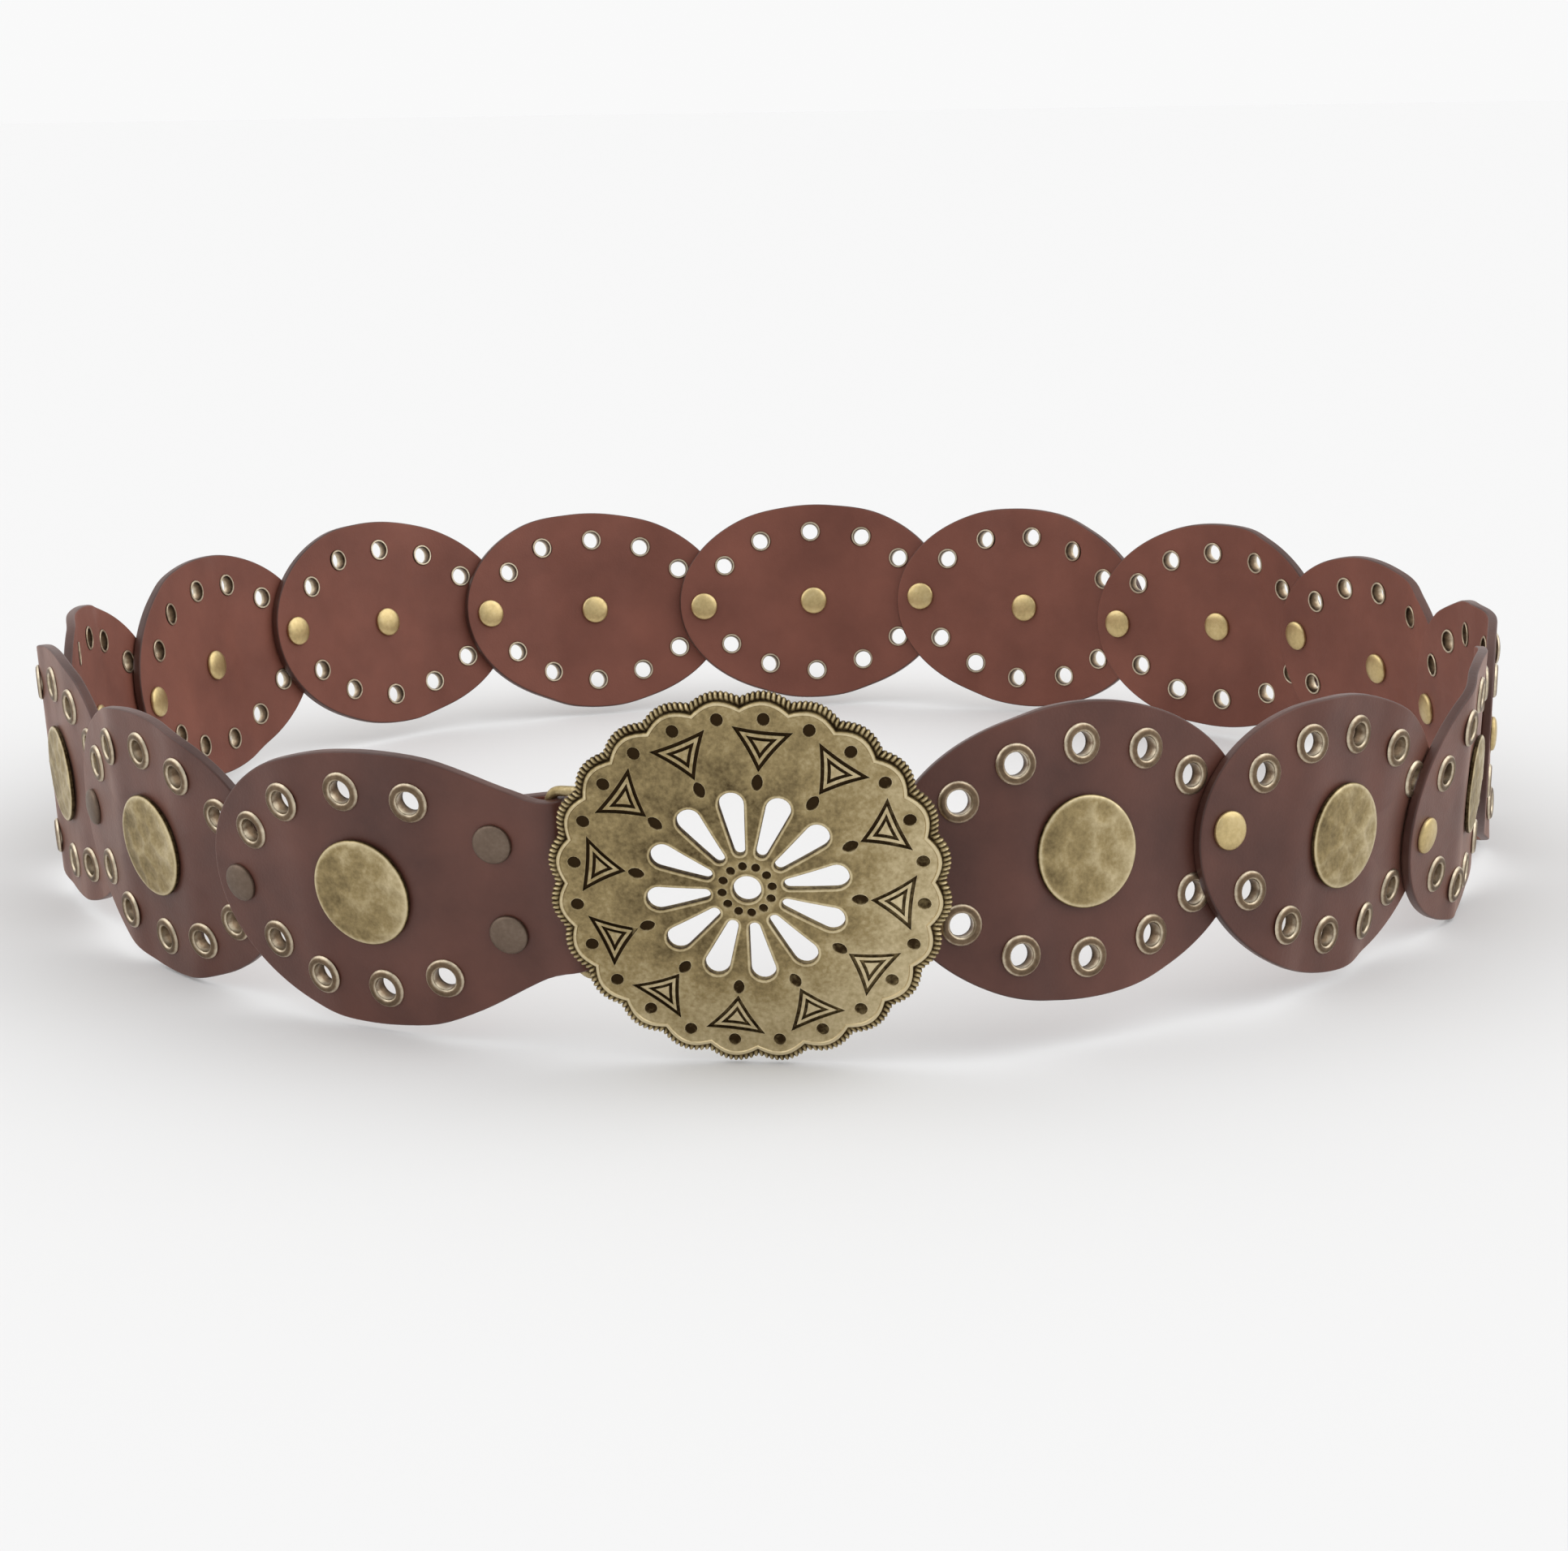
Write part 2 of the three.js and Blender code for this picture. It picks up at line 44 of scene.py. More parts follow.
# Camera
# It stands in front of the belt, a little above it, and looks slightly down on the buckle.
# Sizes here and below are in millimetres, and MM turns them into metres when a thing is placed.
MM = 0.001
CAMERA_PLACE = Vector((3.03, -803.2, 208.3))
CAMERA_PITCH_DEG = -13.23
CAMERA_ROLL_DEG = -0.85
SENSOR_WIDTH = 36
FOCAL_LENGTH = 67.83
camera_data = bpy.data.cameras.new("camera")
camera_data.sensor_width = SENSOR_WIDTH
camera_data.lens = FOCAL_LENGTH
camera = bpy.data.objects.new("camera", camera_data)
scene.collection.objects.link(camera)
level = Matrix.Rotation(math.radians(90 + CAMERA_PITCH_DEG), 4, "X")
roll = Matrix.Rotation(math.radians(CAMERA_ROLL_DEG), 4, "Z")
camera.matrix_world = Matrix.Translation(CAMERA_PLACE * MM) @ level @ roll
scene.camera = camera

# Leather discs
# Fifteen ovals stamped from 2.5 mm cowhide, smooth outside and a redder flesh side inside, with rounded,
# edge-painted rims. The first runs on as a strap that folds round the buckle's wire loop.
Joint = namedtuple("Joint", "height lean swell")
JOINTS = [
    Joint(38.2, 8.6, 2.5),
    Joint(31.4, 9.6, -0.3),
    Joint(35.2, 4.3, -2.9),
    Joint(36.6, 2.4, 0.1),
    Joint(31.1, 8.6, 0.3),
    Joint(39.8, 10.1, 1.1),
    Joint(35.7, 15.2, 0.9),
    Joint(33.3, 15.8, -1.4),
    Joint(36.4, 12.9, 0.7),
    Joint(33.2, 2, -4.3),
    Joint(38.7, -5.5, -1.5),
    Joint(29.4, -5.9, 0),
    Joint(38.2, 1.1, -0.8),
    Joint(28.8, 6.7, 0.4),
    Joint(43, -3.6, -0.6),
    Joint(43.3, -6.7, 1.7),
]
DISC_LENGTH = 91.5
DISC_HEIGHT = 66
LEATHER = 2.5
LAP_GAP = 0.4
LAP = (LEATHER + LAP_GAP) / 2
RIVET_PITCH = 75.2
JOINT_X = RIVET_PITCH / 2
LOOP_RADIUS = 192.7
FIRST_JOINT_DEG = 16.6
LOOP_CENTRE = Vector((0.47, 3.73, 0.12))
MIDDLE_X = 7.5
BEND_X = 22.5
CROWN = 1.45
POST_HOLE = 4.2
EYELET_HOLE = 6
HOLE_OVAL = Vector((35.5, 23.7))
HOLE_STEP_DEG = 27.8
EDGE_ROUND = 0.55
OUTLINE_STEPS = 160
HOLE_STEPS = 28
BEND_STEP = 1.6
SHARP_DEG = 42

# The strap at the right end of the first disc: its half width, its rivets and its fold round the wire
STRAP_HALF = 20
STRAP_RIVET_X = 34
STRAP_RIVET_HEIGHTS = (10.7, -10.7)
NECK_LENGTH = 50
NECK_POWER = 1.4
FOLD_X = 47.8
FOLD_SWELL = 1.2
SWELL_START = 5
WIRE = 2.3
METAL_GAP = 0.35
FOLD_RADIUS = WIRE / 2 + METAL_GAP + LEATHER / 2
TAIL_X = 26
TAIL_CORNER = 4
SWELL_STEPS = 12
FOLD_STEPS = 16

# The leather's colours, and the sizes of its clouds of dye, its creases and its pebble grain
SHEEN_TINT = "#d9ae98"
OUTSIDE_LIGHT = "#673f34"
OUTSIDE_DARK = "#4b2b23"
INSIDE_LIGHT = "#7f4b3c"
INSIDE_DARK = "#683a2d"
EDGE_LIGHT = "#5a3a31"
EDGE_DARK = "#3a221c"
CLOUD_SIZE = 28
CREASE_SIZE = 4
PEBBLE_SIZE = 0.7


def lay_out_joints():
    """Each joint's height and point on the round, and its directions: to the right, up and out."""
    angle = math.radians(FIRST_JOINT_DEG)
    places = []
    for index, joint in enumerate(JOINTS):
        if index:
            rise = math.asin((JOINTS[index - 1].height - joint.height) / RIVET_PITCH)
            angle += RIVET_PITCH * math.cos(rise) / LOOP_RADIUS
        lean = math.radians(joint.lean)
        radial = Vector((-math.sin(angle), -math.cos(angle), 0))
        along = Vector((math.cos(angle), -math.sin(angle), 0))
        up = radial * math.sin(lean) + Vector((0, 0, math.cos(lean)))
        middle = LOOP_CENTRE + Vector((0, 0, DISC_HEIGHT / 2))
        point = middle + radial * (LOOP_RADIUS + joint.swell) + up * (joint.height - DISC_HEIGHT / 2)
        places.append((joint.height, point, along, up, along.cross(up)))
    return places


def basis(across, upwards, outwards, origin):
    """The matrix of a frame with these directions and origin."""
    turn = Matrix((across, upwards, outwards)).transposed().to_4x4()
    return Matrix.Translation(origin) @ turn


def plan_disc(start, end):
    """The frames of a disc's three flats: at its right joint, in its middle and at its left joint."""
    rise = math.asin((start[0] - end[0]) / RIVET_PITCH)
    tips = []
    for joint, rivet_x, lap in ((start, JOINT_X, -LAP), (end, -JOINT_X, LAP)):
        _, point, along, up, out = joint
        across = along * math.cos(rise) + up * math.sin(rise)
        tips.append(basis(across, out.cross(across), out, point - across * rivet_x + out * lap))
    right, left = tips[0] @ Vector((BEND_X, 0, 0)), tips[1] @ Vector((-BEND_X, 0, 0))
    across = (right - left).normalized()
    out = across.cross(start[3] + end[3]).normalized()
    middle = basis(across, out.cross(across), out, (right + left) / 2 + out * CROWN)
    return tips[0], middle, tips[1]


def ease(share):
    """A smooth step from 0 to 1."""
    share = min(max(share, 0), 1)
    return share * share * (3 - 2 * share)


def place(plan, x, y, depth):
    """Where a point of the flat disc comes: it bends smoothly from the middle's flat to the joint's."""
    flat = Vector((x, y, depth))
    share = ease((abs(x) - MIDDLE_X) / (BEND_X - MIDDLE_X))
    return (plan[1] @ flat).lerp((plan[0] if x > 0 else plan[2]) @ flat, share)


def frame_on(plan, x, y, depth=0):
    """A frame on the leather: X to the right, Y up the leather, Z outwards."""
    across = (place(plan, x + 0.5, y, 0) - place(plan, x - 0.5, y, 0)).normalized()
    upwards = place(plan, x, y + 0.5, 0) - place(plan, x, y - 0.5, 0)
    outwards = across.cross(upwards).normalized()
    return basis(across, outwards.cross(across), outwards, place(plan, x, y, 0) + outwards * depth)


def strap_line():
    """The strap's way over the wire, round it and back, as (along, depth) from the strap rivets."""
    fold = FOLD_X - STRAP_RIVET_X
    inner_depth = -LEATHER - LAP_GAP
    line = []
    for step in range(SWELL_STEPS + 1):
        share = step / SWELL_STEPS
        line.append((SWELL_START + (fold - SWELL_START) * share, FOLD_SWELL * ease(share)))
    for step in range(1, FOLD_STEPS + 1):
        turn = math.pi * (0.5 - step / FOLD_STEPS)
        depth = FOLD_SWELL - FOLD_RADIUS + FOLD_RADIUS * math.sin(turn)
        line.append((fold + FOLD_RADIUS * math.cos(turn), depth))
    below = FOLD_SWELL - 2 * FOLD_RADIUS
    for step in range(1, SWELL_STEPS + 1):
        share = step / SWELL_STEPS
        line.append((fold + (SWELL_START - fold) * share, below + (inner_depth - below) * ease(share)))
    line.append((TAIL_X - STRAP_RIVET_X, inner_depth))
    return [Vector(point) for point in line]


joints = lay_out_joints()
plans = [plan_disc(start, end) for start, end in zip(joints, joints[1:])]
strap_frame = frame_on(plans[0], STRAP_RIVET_X, 0)
strap_path = strap_line()
STRAP_START = STRAP_RIVET_X + SWELL_START
STRAP_END = STRAP_START + sum((b - a).length for a, b in zip(strap_path, strap_path[1:]))


def place_strap(x, y, depth):
    """Where a point of the flat strap comes, past the start of its swell."""
    left = x - STRAP_START
    for start, end in zip(strap_path, strap_path[1:]):
        length = (end - start).length
        if left <= length or end is strap_path[-1]:
            along = (end - start) / length
            point = start + along * left
            return strap_frame @ Vector((point.x - along.y * depth, y, point.y + along.x * depth))
        left -= length


def half_height(x, is_first):
    """Half of a disc's height there: oval, or narrowing to the strap with its rounded end."""
    if not is_first or x <= 0:
        return DISC_HEIGHT / 2 * math.sqrt(max(1 - (2 * x / DISC_LENGTH) ** 2, 0))
    neck = (1 + math.cos(math.pi * min(x / NECK_LENGTH, 1) ** NECK_POWER)) / 2
    corner = max(x - (STRAP_END - TAIL_CORNER), 0)
    rounding = TAIL_CORNER - math.sqrt(max(TAIL_CORNER ** 2 - corner ** 2, 0))
    return STRAP_HALF + (DISC_HEIGHT / 2 - STRAP_HALF) * neck - rounding


def eyelet_places(is_first):
    """Where the eyelets sit, five along the top and five along the bottom, four each beside the strap."""
    places = []
    for step in range(-2, 2 if is_first else 3):
        turn = math.radians(step * HOLE_STEP_DEG)
        x, y = HOLE_OVAL.x * math.sin(turn), HOLE_OVAL.y * math.cos(turn)
        places += [(x, y), (x, -y)]
    return places


def strap_hole_places():
    """The strap rivets' holes through the outer layer and through the folded tail."""
    flat_back = STRAP_END - (STRAP_RIVET_X - TAIL_X)
    return [(x, y) for x in (STRAP_RIVET_X, flat_back) for y in STRAP_RIVET_HEIGHTS]


def cut_blank(is_first, holes):
    """The flat blank with its holes, its thickness and its rounded rims."""
    bm = bmesh.new()
    for rim in bmesh.ops.create_circle(bm, segments=OUTLINE_STEPS, radius=DISC_LENGTH / 2)["verts"]:
        if is_first and rim.co.x > 0:
            rim.co.x *= STRAP_END / (DISC_LENGTH / 2)
        if abs(rim.co.y) > 1e-3:
            rim.co.y = math.copysign(half_height(rim.co.x, is_first), rim.co.y)
    for x, y, diameter in holes:
        spot = Matrix.Translation((x, y, 0))
        bmesh.ops.create_circle(bm, segments=HOLE_STEPS, radius=diameter / 2, matrix=spot)
    bmesh.ops.triangle_fill(bm, edges=bm.edges[:], use_beauty=True, normal=(0, 0, 1))
    bmesh.ops.solidify(bm, geom=bm.faces[:], thickness=LEATHER)
    bmesh.ops.recalc_face_normals(bm, faces=bm.faces[:])
    middle = sum(corner.co.z for corner in bm.verts) / len(bm.verts)
    bmesh.ops.translate(bm, verts=bm.verts[:], vec=(0, 0, -middle))
    rims = [edge for edge in bm.edges if edge.calc_face_angle(0) > 1]
    bmesh.ops.bevel(bm, geom=rims, offset=EDGE_ROUND, segments=3, affect="EDGES", profile=0.5, material=-1)
    return bm


def bend_blank(bm, plan, is_first):
    """Marks the blank's outside, inside and rim, cuts it across in narrow steps and bends it into place."""
    for face in bm.faces:
        face.material_index = 0 if face.normal.z > 0.95 else 1 if face.normal.z < -0.95 else 2
        face.smooth = True
    x = -DISC_LENGTH / 2 + BEND_STEP
    while x < (STRAP_END if is_first else DISC_LENGTH / 2):
        whole = bm.verts[:] + bm.edges[:] + bm.faces[:]
        bmesh.ops.bisect_plane(bm, geom=whole, dist=1e-4, plane_co=(x, 0, 0), plane_no=(1, 0, 0))
        x += BEND_STEP if x < STRAP_START else BEND_STEP / 2
    for corner in bm.verts:
        x, y, depth = corner.co
        on_strap = is_first and x > STRAP_START
        corner.co = place_strap(x, y, depth) if on_strap else place(plan, x, y, depth)


def make_piece(bm, name, materials):
    """The finished mesh as an object in metres, with even normals and these materials."""
    bm.transform(Matrix.Scale(MM, 4))
    mesh = bpy.data.meshes.new(name)
    bm.to_mesh(mesh)
    bm.free()
    mesh.set_sharp_from_angle(angle=math.radians(SHARP_DEG))
    for material in materials:
        mesh.materials.append(material)
    piece = bpy.data.objects.new(name, mesh)
    scene.collection.objects.link(piece)
    even = piece.modifiers.new("even normals", "WEIGHTED_NORMAL")
    even.keep_sharp = True
    return piece


def colour(hex_code):
    """A linear colour from its sRGB hex code."""
    shares = [int(hex_code[at:at + 2], 16) / 255 for at in (1, 3, 5)]
    return [s / 12.92 if s <= 0.04045 else ((s + 0.055) / 1.055) ** 2.4 for s in shares] + [1]


def add_node(tree, kind, inputs=(), **settings):
    """A node with its settings, its fixed inputs and its links."""
    node = tree.nodes.new(kind)
    for name, value in settings.items():
        setattr(node, name, value)
    for socket, value in dict(inputs).items():
        if isinstance(value, bpy.types.NodeSocket):
            tree.links.new(value, node.inputs[socket])
        else:
            node.inputs[socket].default_value = value
    return node


def colour_ramp(tree, factor, stops):
    """A ramp through these (position, hex colour) stops."""
    ramp = add_node(tree, "ShaderNodeValToRGB", {"Fac": factor})
    elements = ramp.color_ramp.elements
    while len(elements) < len(stops):
        elements.new(1)
    for element, (position, hex_code) in zip(elements, stops):
        element.position = position
        element.color = colour(hex_code)
    return ramp


def leather(name, light, dark, roughness, sheen):
    """Drum-dyed cowhide with a thin resin finish: clouds of darker dye, a pebble grain and a soft sheen."""
    material = bpy.data.materials.new(name)
    material.use_nodes = True
    tree = material.node_tree
    shader = tree.nodes["Principled BSDF"]
    shader.inputs["Specular IOR Level"].default_value = 0.4
    shader.inputs["Sheen Weight"].default_value = sheen
    shader.inputs["Sheen Tint"].default_value = colour(SHEEN_TINT)
    shader.inputs["Sheen Roughness"].default_value = 0.35
    place_of = add_node(tree, "ShaderNodeTexCoord").outputs["Object"]
    cloud = add_node(tree, "ShaderNodeTexNoise", {
        "Vector": place_of, "Scale": 1 / (CLOUD_SIZE * MM), "Detail": 5, "Roughness": 0.55,
    })
    ramp = colour_ramp(tree, cloud.outputs["Fac"], [(0.3, dark), (0.7, light)])
    tree.links.new(ramp.outputs["Color"], shader.inputs["Base Color"])
    pebble = add_node(tree, "ShaderNodeTexVoronoi", {"Vector": place_of, "Scale": 1 / (PEBBLE_SIZE * MM)})
    crease = add_node(tree, "ShaderNodeTexNoise", {
        "Vector": place_of, "Scale": 1 / (CREASE_SIZE * MM), "Detail": 6,
    })
    height = add_node(tree, "ShaderNodeMath", {0: pebble.outputs["Distance"], 1: crease.outputs["Fac"]},
                      operation="ADD")
    bump = add_node(tree, "ShaderNodeBump", {
        "Height": height.outputs[0], "Strength": 0.12, "Distance": 0.2 * MM,
    })
    tree.links.new(bump.outputs["Normal"], shader.inputs["Normal"])
    shine = add_node(tree, "ShaderNodeMapRange", {
        "Value": crease.outputs["Fac"], "To Min": roughness - 0.06, "To Max": roughness + 0.08,
    })
    tree.links.new(shine.outputs["Result"], shader.inputs["Roughness"])
    return material


outside_leather = leather("smooth_leather_outside", OUTSIDE_LIGHT, OUTSIDE_DARK, 0.44, 0.45)
inside_leather = leather("leather_flesh_side", INSIDE_LIGHT, INSIDE_DARK, 0.6, 0.02)
edge_leather = leather("painted_leather_edge", EDGE_LIGHT, EDGE_DARK, 0.4, 0.1)

for index, plan in enumerate(plans):
    is_first = index == 0
    number = f"{index + 1:02d}"
    holes = [(x, y, EYELET_HOLE) for x, y in eyelet_places(is_first)]
    holes.append((0, 0, POST_HOLE))
    holes.append((-JOINT_X, 0, EYELET_HOLE if index == len(plans) - 1 else POST_HOLE))
    if is_first:
        holes += [(x, y, POST_HOLE) for x, y in strap_hole_places()]
    else:
        holes.append((JOINT_X, 0, POST_HOLE))
    blank = cut_blank(is_first, holes)
    bend_blank(blank, plan, is_first)
    disc = make_piece(blank, f"leather_disc_{number}", [outside_leather, inside_leather, edge_leather])
    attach(disc, "root")
    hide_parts(f"disc_{number}")

# Eyelets
# A brass eyelet is set in each hole: a tube with a wide rounded flange outside, whose end is rolled
# outwards on the inside of the leather. The plating is an antique bronze, worn bright on the flange.
EYELET_PROFILE = [
    (2.65, -1.35),
    (2.65, 1.6),
    (2.85, 1.95),
    (3.3, 2.2),
    (3.95, 2.13),
    (4.45, 1.8),
    (4.62, 1.4),
    (4.5, 1.2),
    (2.93, 1.2),
    (2.93, -1.22),
    (3.25, -1.22),
    (3.4, -1.42),
    (3.2, -1.66),
    (2.85, -1.66),
]
EYELET_STEPS = 28
EYELET_BORE = 2.75
EYELET_LIP = 3
EYELET_BRIM = 4.2
EYELET_ROLL = -1.5
BRONZE_BRIGHT = "#dccfb6"
BRONZE = "#836f59"
BRONZE_DARK = "#2b2018"
MOTTLE_SIZE = 6
SPECK_SIZE = 1.1


def finish_faces(bm):
    """Turns all faces outwards and shades them smooth."""
    bmesh.ops.recalc_face_normals(bm, faces=bm.faces[:])
    for face in bm.faces:
        face.smooth = True


def turned(profile, steps, is_ring=False):
    """A spun mesh from a profile of (radius, height) points. A ring's profile closes on itself."""
    bm = bmesh.new()
    points = [bm.verts.new((radius, 0, height)) for radius, height in profile]
    pairs = list(zip(points, points[1:])) + ([(points[-1], points[0])] if is_ring else [])
    edges = [bm.edges.new(pair) for pair in pairs]
    bmesh.ops.spin(bm, geom=points + edges, cent=(0, 0, 0), axis=(0, 0, 1), angle=2 * math.pi, steps=steps,
                   use_merge=True)
    bmesh.ops.remove_doubles(bm, verts=bm.verts[:], dist=1e-4)
    finish_faces(bm)
    return bm


def add_copy(bm, mesh, matrix):
    """Adds a mesh to the piece at a place."""
    before = len(bm.verts)
    bm.from_mesh(mesh)
    bm.verts.ensure_lookup_table()
    bmesh.ops.transform(bm, matrix=matrix, verts=bm.verts[before:])


def antique_metal(name, bright, plain, dark, roughness, mottle):
    """Antiqued plating on cast or spun metal, darkened in the recesses and rubbed bright on the edges.
    The piece's patina attribute says which, from -1 (rubbed) to 1 (dark); on the buckle plate, the conchos
    and the eyelets it also holds painted shade and painted highlights."""
    material = bpy.data.materials.new(name)
    material.use_nodes = True
    tree = material.node_tree
    shader = tree.nodes["Principled BSDF"]
    shader.inputs["Metallic"].default_value = 1
    place_of = add_node(tree, "ShaderNodeTexCoord").outputs["Object"]
    patina_and_painted_light = add_node(tree, "ShaderNodeAttribute", attribute_name="patina_and_painted_light").outputs["Fac"]
    cloud = add_node(tree, "ShaderNodeTexNoise", {
        "Vector": place_of, "Scale": 1 / (MOTTLE_SIZE * MM), "Detail": 6, "Roughness": 0.65,
    })
    speck = add_node(tree, "ShaderNodeTexNoise", {
        "Vector": place_of, "Scale": 1 / (SPECK_SIZE * MM), "Detail": 3, "Roughness": 0.6,
    })
    both = add_node(tree, "ShaderNodeMath", {0: cloud.outputs["Fac"], 1: speck.outputs["Fac"]},
                    operation="ADD")
    spread = add_node(tree, "ShaderNodeMapRange", {
        "Value": both.outputs[0], "From Min": 0.7, "From Max": 1.3, "To Min": -mottle, "To Max": mottle,
    })
    tarnish_and_painted_light = add_node(tree, "ShaderNodeMath", {0: patina_and_painted_light, 1: spread.outputs["Result"]}, operation="ADD")
    share = add_node(tree, "ShaderNodeMapRange", {
        "Value": tarnish_and_painted_light.outputs[0], "From Min": -1, "From Max": 1,
    })
    ramp = colour_ramp(tree, share.outputs["Result"], [(0.12, bright), (0.5, plain), (0.92, dark)])
    tree.links.new(ramp.outputs["Color"], shader.inputs["Base Color"])
    shine = add_node(tree, "ShaderNodeMapRange", {
        "Value": share.outputs["Result"], "To Min": roughness - 0.08, "To Max": roughness + 0.25,
    })
    tree.links.new(shine.outputs["Result"], shader.inputs["Roughness"])
    bump = add_node(tree, "ShaderNodeBump", {
        "Height": both.outputs[0], "Strength": 0.15, "Distance": 0.1 * MM,
    })
    tree.links.new(bump.outputs["Normal"], shader.inputs["Normal"])
    return material


def set_patina(bm, patina_of):
    """Writes the patina attribute from a function of a vertex's place."""
    layer = bm.verts.layers.float.get("patina_and_painted_light") or bm.verts.layers.float.new("patina_and_painted_light")
    for corner in bm.verts:
        corner[layer] = patina_of(corner.co)


def eyelet_patina_and_highlight(point):
    """Lighter at the flange's lip and outer edge, wear with a painted highlight there, rubbed bright on the
    rolled end, and dark in the bore.
    """
    radius = math.hypot(point.x, point.y)
    if radius < EYELET_BORE and point.z < LEATHER / 2:
        return 0.75
    # Wear and painted highlight: the flange's lip and outer edge are made lighter
    if radius < EYELET_LIP or radius > EYELET_BRIM or point.z < EYELET_ROLL:
        return -0.6
    return 0.25


antique_bronze = antique_metal("antique_bronze_plating", BRONZE_BRIGHT, BRONZE, BRONZE_DARK, 0.36, 0.2)
eyelet = turned(EYELET_PROFILE, EYELET_STEPS, is_ring=True)
set_patina(eyelet, eyelet_patina_and_highlight)
eyelet_mesh = bpy.data.meshes.new("one_eyelet")
eyelet.to_mesh(eyelet_mesh)
eyelet.free()
for index, plan in enumerate(plans):
    row = bmesh.new()
    for x, y in eyelet_places(index == 0):
        add_copy(row, eyelet_mesh, frame_on(plan, x, y))
    eyelets = make_piece(row, f"eyelets_{index + 1:02d}", [antique_bronze])
    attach(eyelets, "root")
bpy.data.meshes.remove(eyelet_mesh)

# Conchos
# A cast round plate with a hammered face, plated antique brass, sits in the middle of each disc. Its post
# goes through the leather to a plain gilt cap inside.
CONCHO_RADIUS = 12.5
CONCHO_BACK = LEATHER / 2 + METAL_GAP
CONCHO_FACE = CONCHO_BACK + 1.4
CONCHO_RINGS = 26
CONCHO_STEPS = 84
CONCHO_CROWN = 0.35
CONCHO_EDGE = 12.2
HAMMER_RADIUS = 17
HAMMER_END = 11.2
HAMMER_FADE = 1.2
RIDGE_MOST = 0.4
RIDGE_MIDDLE = 0.12
HAMMER_ROWS = ((0, 1), (4.8, 5), (9, 9), (12.4, 12))  # distance from the middle, marks in the row
HAMMER_JITTER = 1.9
POST_RADIUS = 1.5
CAP_RADIUS = 4.5
CAP_SKIRT = 0.06
CAP_STEPS = 32
# How strongly painted shade darkens each concho's face towards its left and lightens it towards its right
CONCHO_PAINTED_SHADE_SLOPE = 0.278
# The concho's edge beyond the hammer marks is painted light: wear, with a painted highlight along it
EDGE_WEAR_AND_HIGHLIGHT = -0.85
BRASS_BRIGHT = "#d6c6a0"
BRASS = "#a08e66"
BRASS_DARK = "#3b2d1c"
GILT_BRIGHT = "#efdfb4"
GILT = "#cdb784"
GILT_DARK = "#6c5836"


def cap_profile(face):
    """A rivet cap on a face, from its crown down round its rim to the post."""
    return [
        (0, face + 1.65),
        (1.6, face + 1.6),
        (3, face + 1.45),
        (3.9, face + 1.2),
        (4.32, face + 0.95),
        (CAP_RADIUS, face + 0.65),
        (CAP_RADIUS, face + 0.2),
        (4.35, face + CAP_SKIRT),
        (POST_RADIUS, face + CAP_SKIRT),
    ]


def turned_over(profile):
    """The same profile on the leather's inner face, from the post to the crown."""
    return [(radius, -height) for radius, height in reversed(profile)]


def hammer_marks(seed):
    """The middles of a concho's hammer marks, in rough rows round its middle."""
    chance = random.Random(seed)
    marks = []
    for distance, count in HAMMER_ROWS:
        start = chance.uniform(0, 2 * math.pi)
        for step in range(count):
            turn = start + step * 2 * math.pi / count
            offset = Vector((chance.uniform(-1, 1), chance.uniform(-1, 1))) * HAMMER_JITTER
            marks.append(Vector((distance * math.cos(turn), distance * math.sin(turn))) + offset)
    return marks


def hammered_concho(seed):
    """The plate with its marks struck in, its post and its inner cap."""
    radii = [CONCHO_RADIUS * (ring / CONCHO_RINGS) for ring in range(CONCHO_RINGS)]
    face = [(radius, CONCHO_FACE - CONCHO_CROWN) for radius in radii]
    rim = [(CONCHO_EDGE, CONCHO_FACE - 0.38), (CONCHO_RADIUS, CONCHO_FACE - 0.6),
           (CONCHO_RADIUS, CONCHO_BACK + 0.2), (CONCHO_EDGE + 0.1, CONCHO_BACK), (POST_RADIUS, CONCHO_BACK)]
    bm = turned(face[:-1] + rim + turned_over(cap_profile(LEATHER / 2)), CONCHO_STEPS)
    layer = bm.verts.layers.float.new("patina_and_painted_light")
    marks = hammer_marks(seed)
    for corner in bm.verts:
        flat = corner.co.xy
        if corner.co.z > CONCHO_FACE - 0.5:
            nearest = min((flat - mark).length for mark in marks)
            ridge = min(nearest * nearest / (2 * HAMMER_RADIUS), RIDGE_MOST) - RIDGE_MIDDLE
            swell = CONCHO_CROWN * (1 - (flat.length / CONCHO_RADIUS) ** 2)
            fade = 1 - ease((flat.length - HAMMER_END) / HAMMER_FADE)
            corner.co.z += swell + ridge * fade
            # Hammer marks are darker in their hollows and rubbed lighter on their ridges; painted shade
            # also darkens the face towards its left and lightens it towards its right
            tarnish_and_painted_light = -ridge - CONCHO_PAINTED_SHADE_SLOPE * flat.x / CONCHO_RADIUS
            # The edge band is painted light: wear, with a painted highlight
            corner[layer] = tarnish_and_painted_light * fade + EDGE_WEAR_AND_HIGHLIGHT * (1 - fade)
        # Painted shade: the plate's side wall and its back, under the face, are painted dark; on the wall
        # this is partly antique patina as well
        elif corner.co.z > CONCHO_BACK + 0.1:
            corner[layer] = 0.7
        elif corner.co.z > 0:
            corner[layer] = 0.8
    for face in bm.faces:
        face.material_index = 1 if face.calc_center_median().z < 0 else 0
    return bm


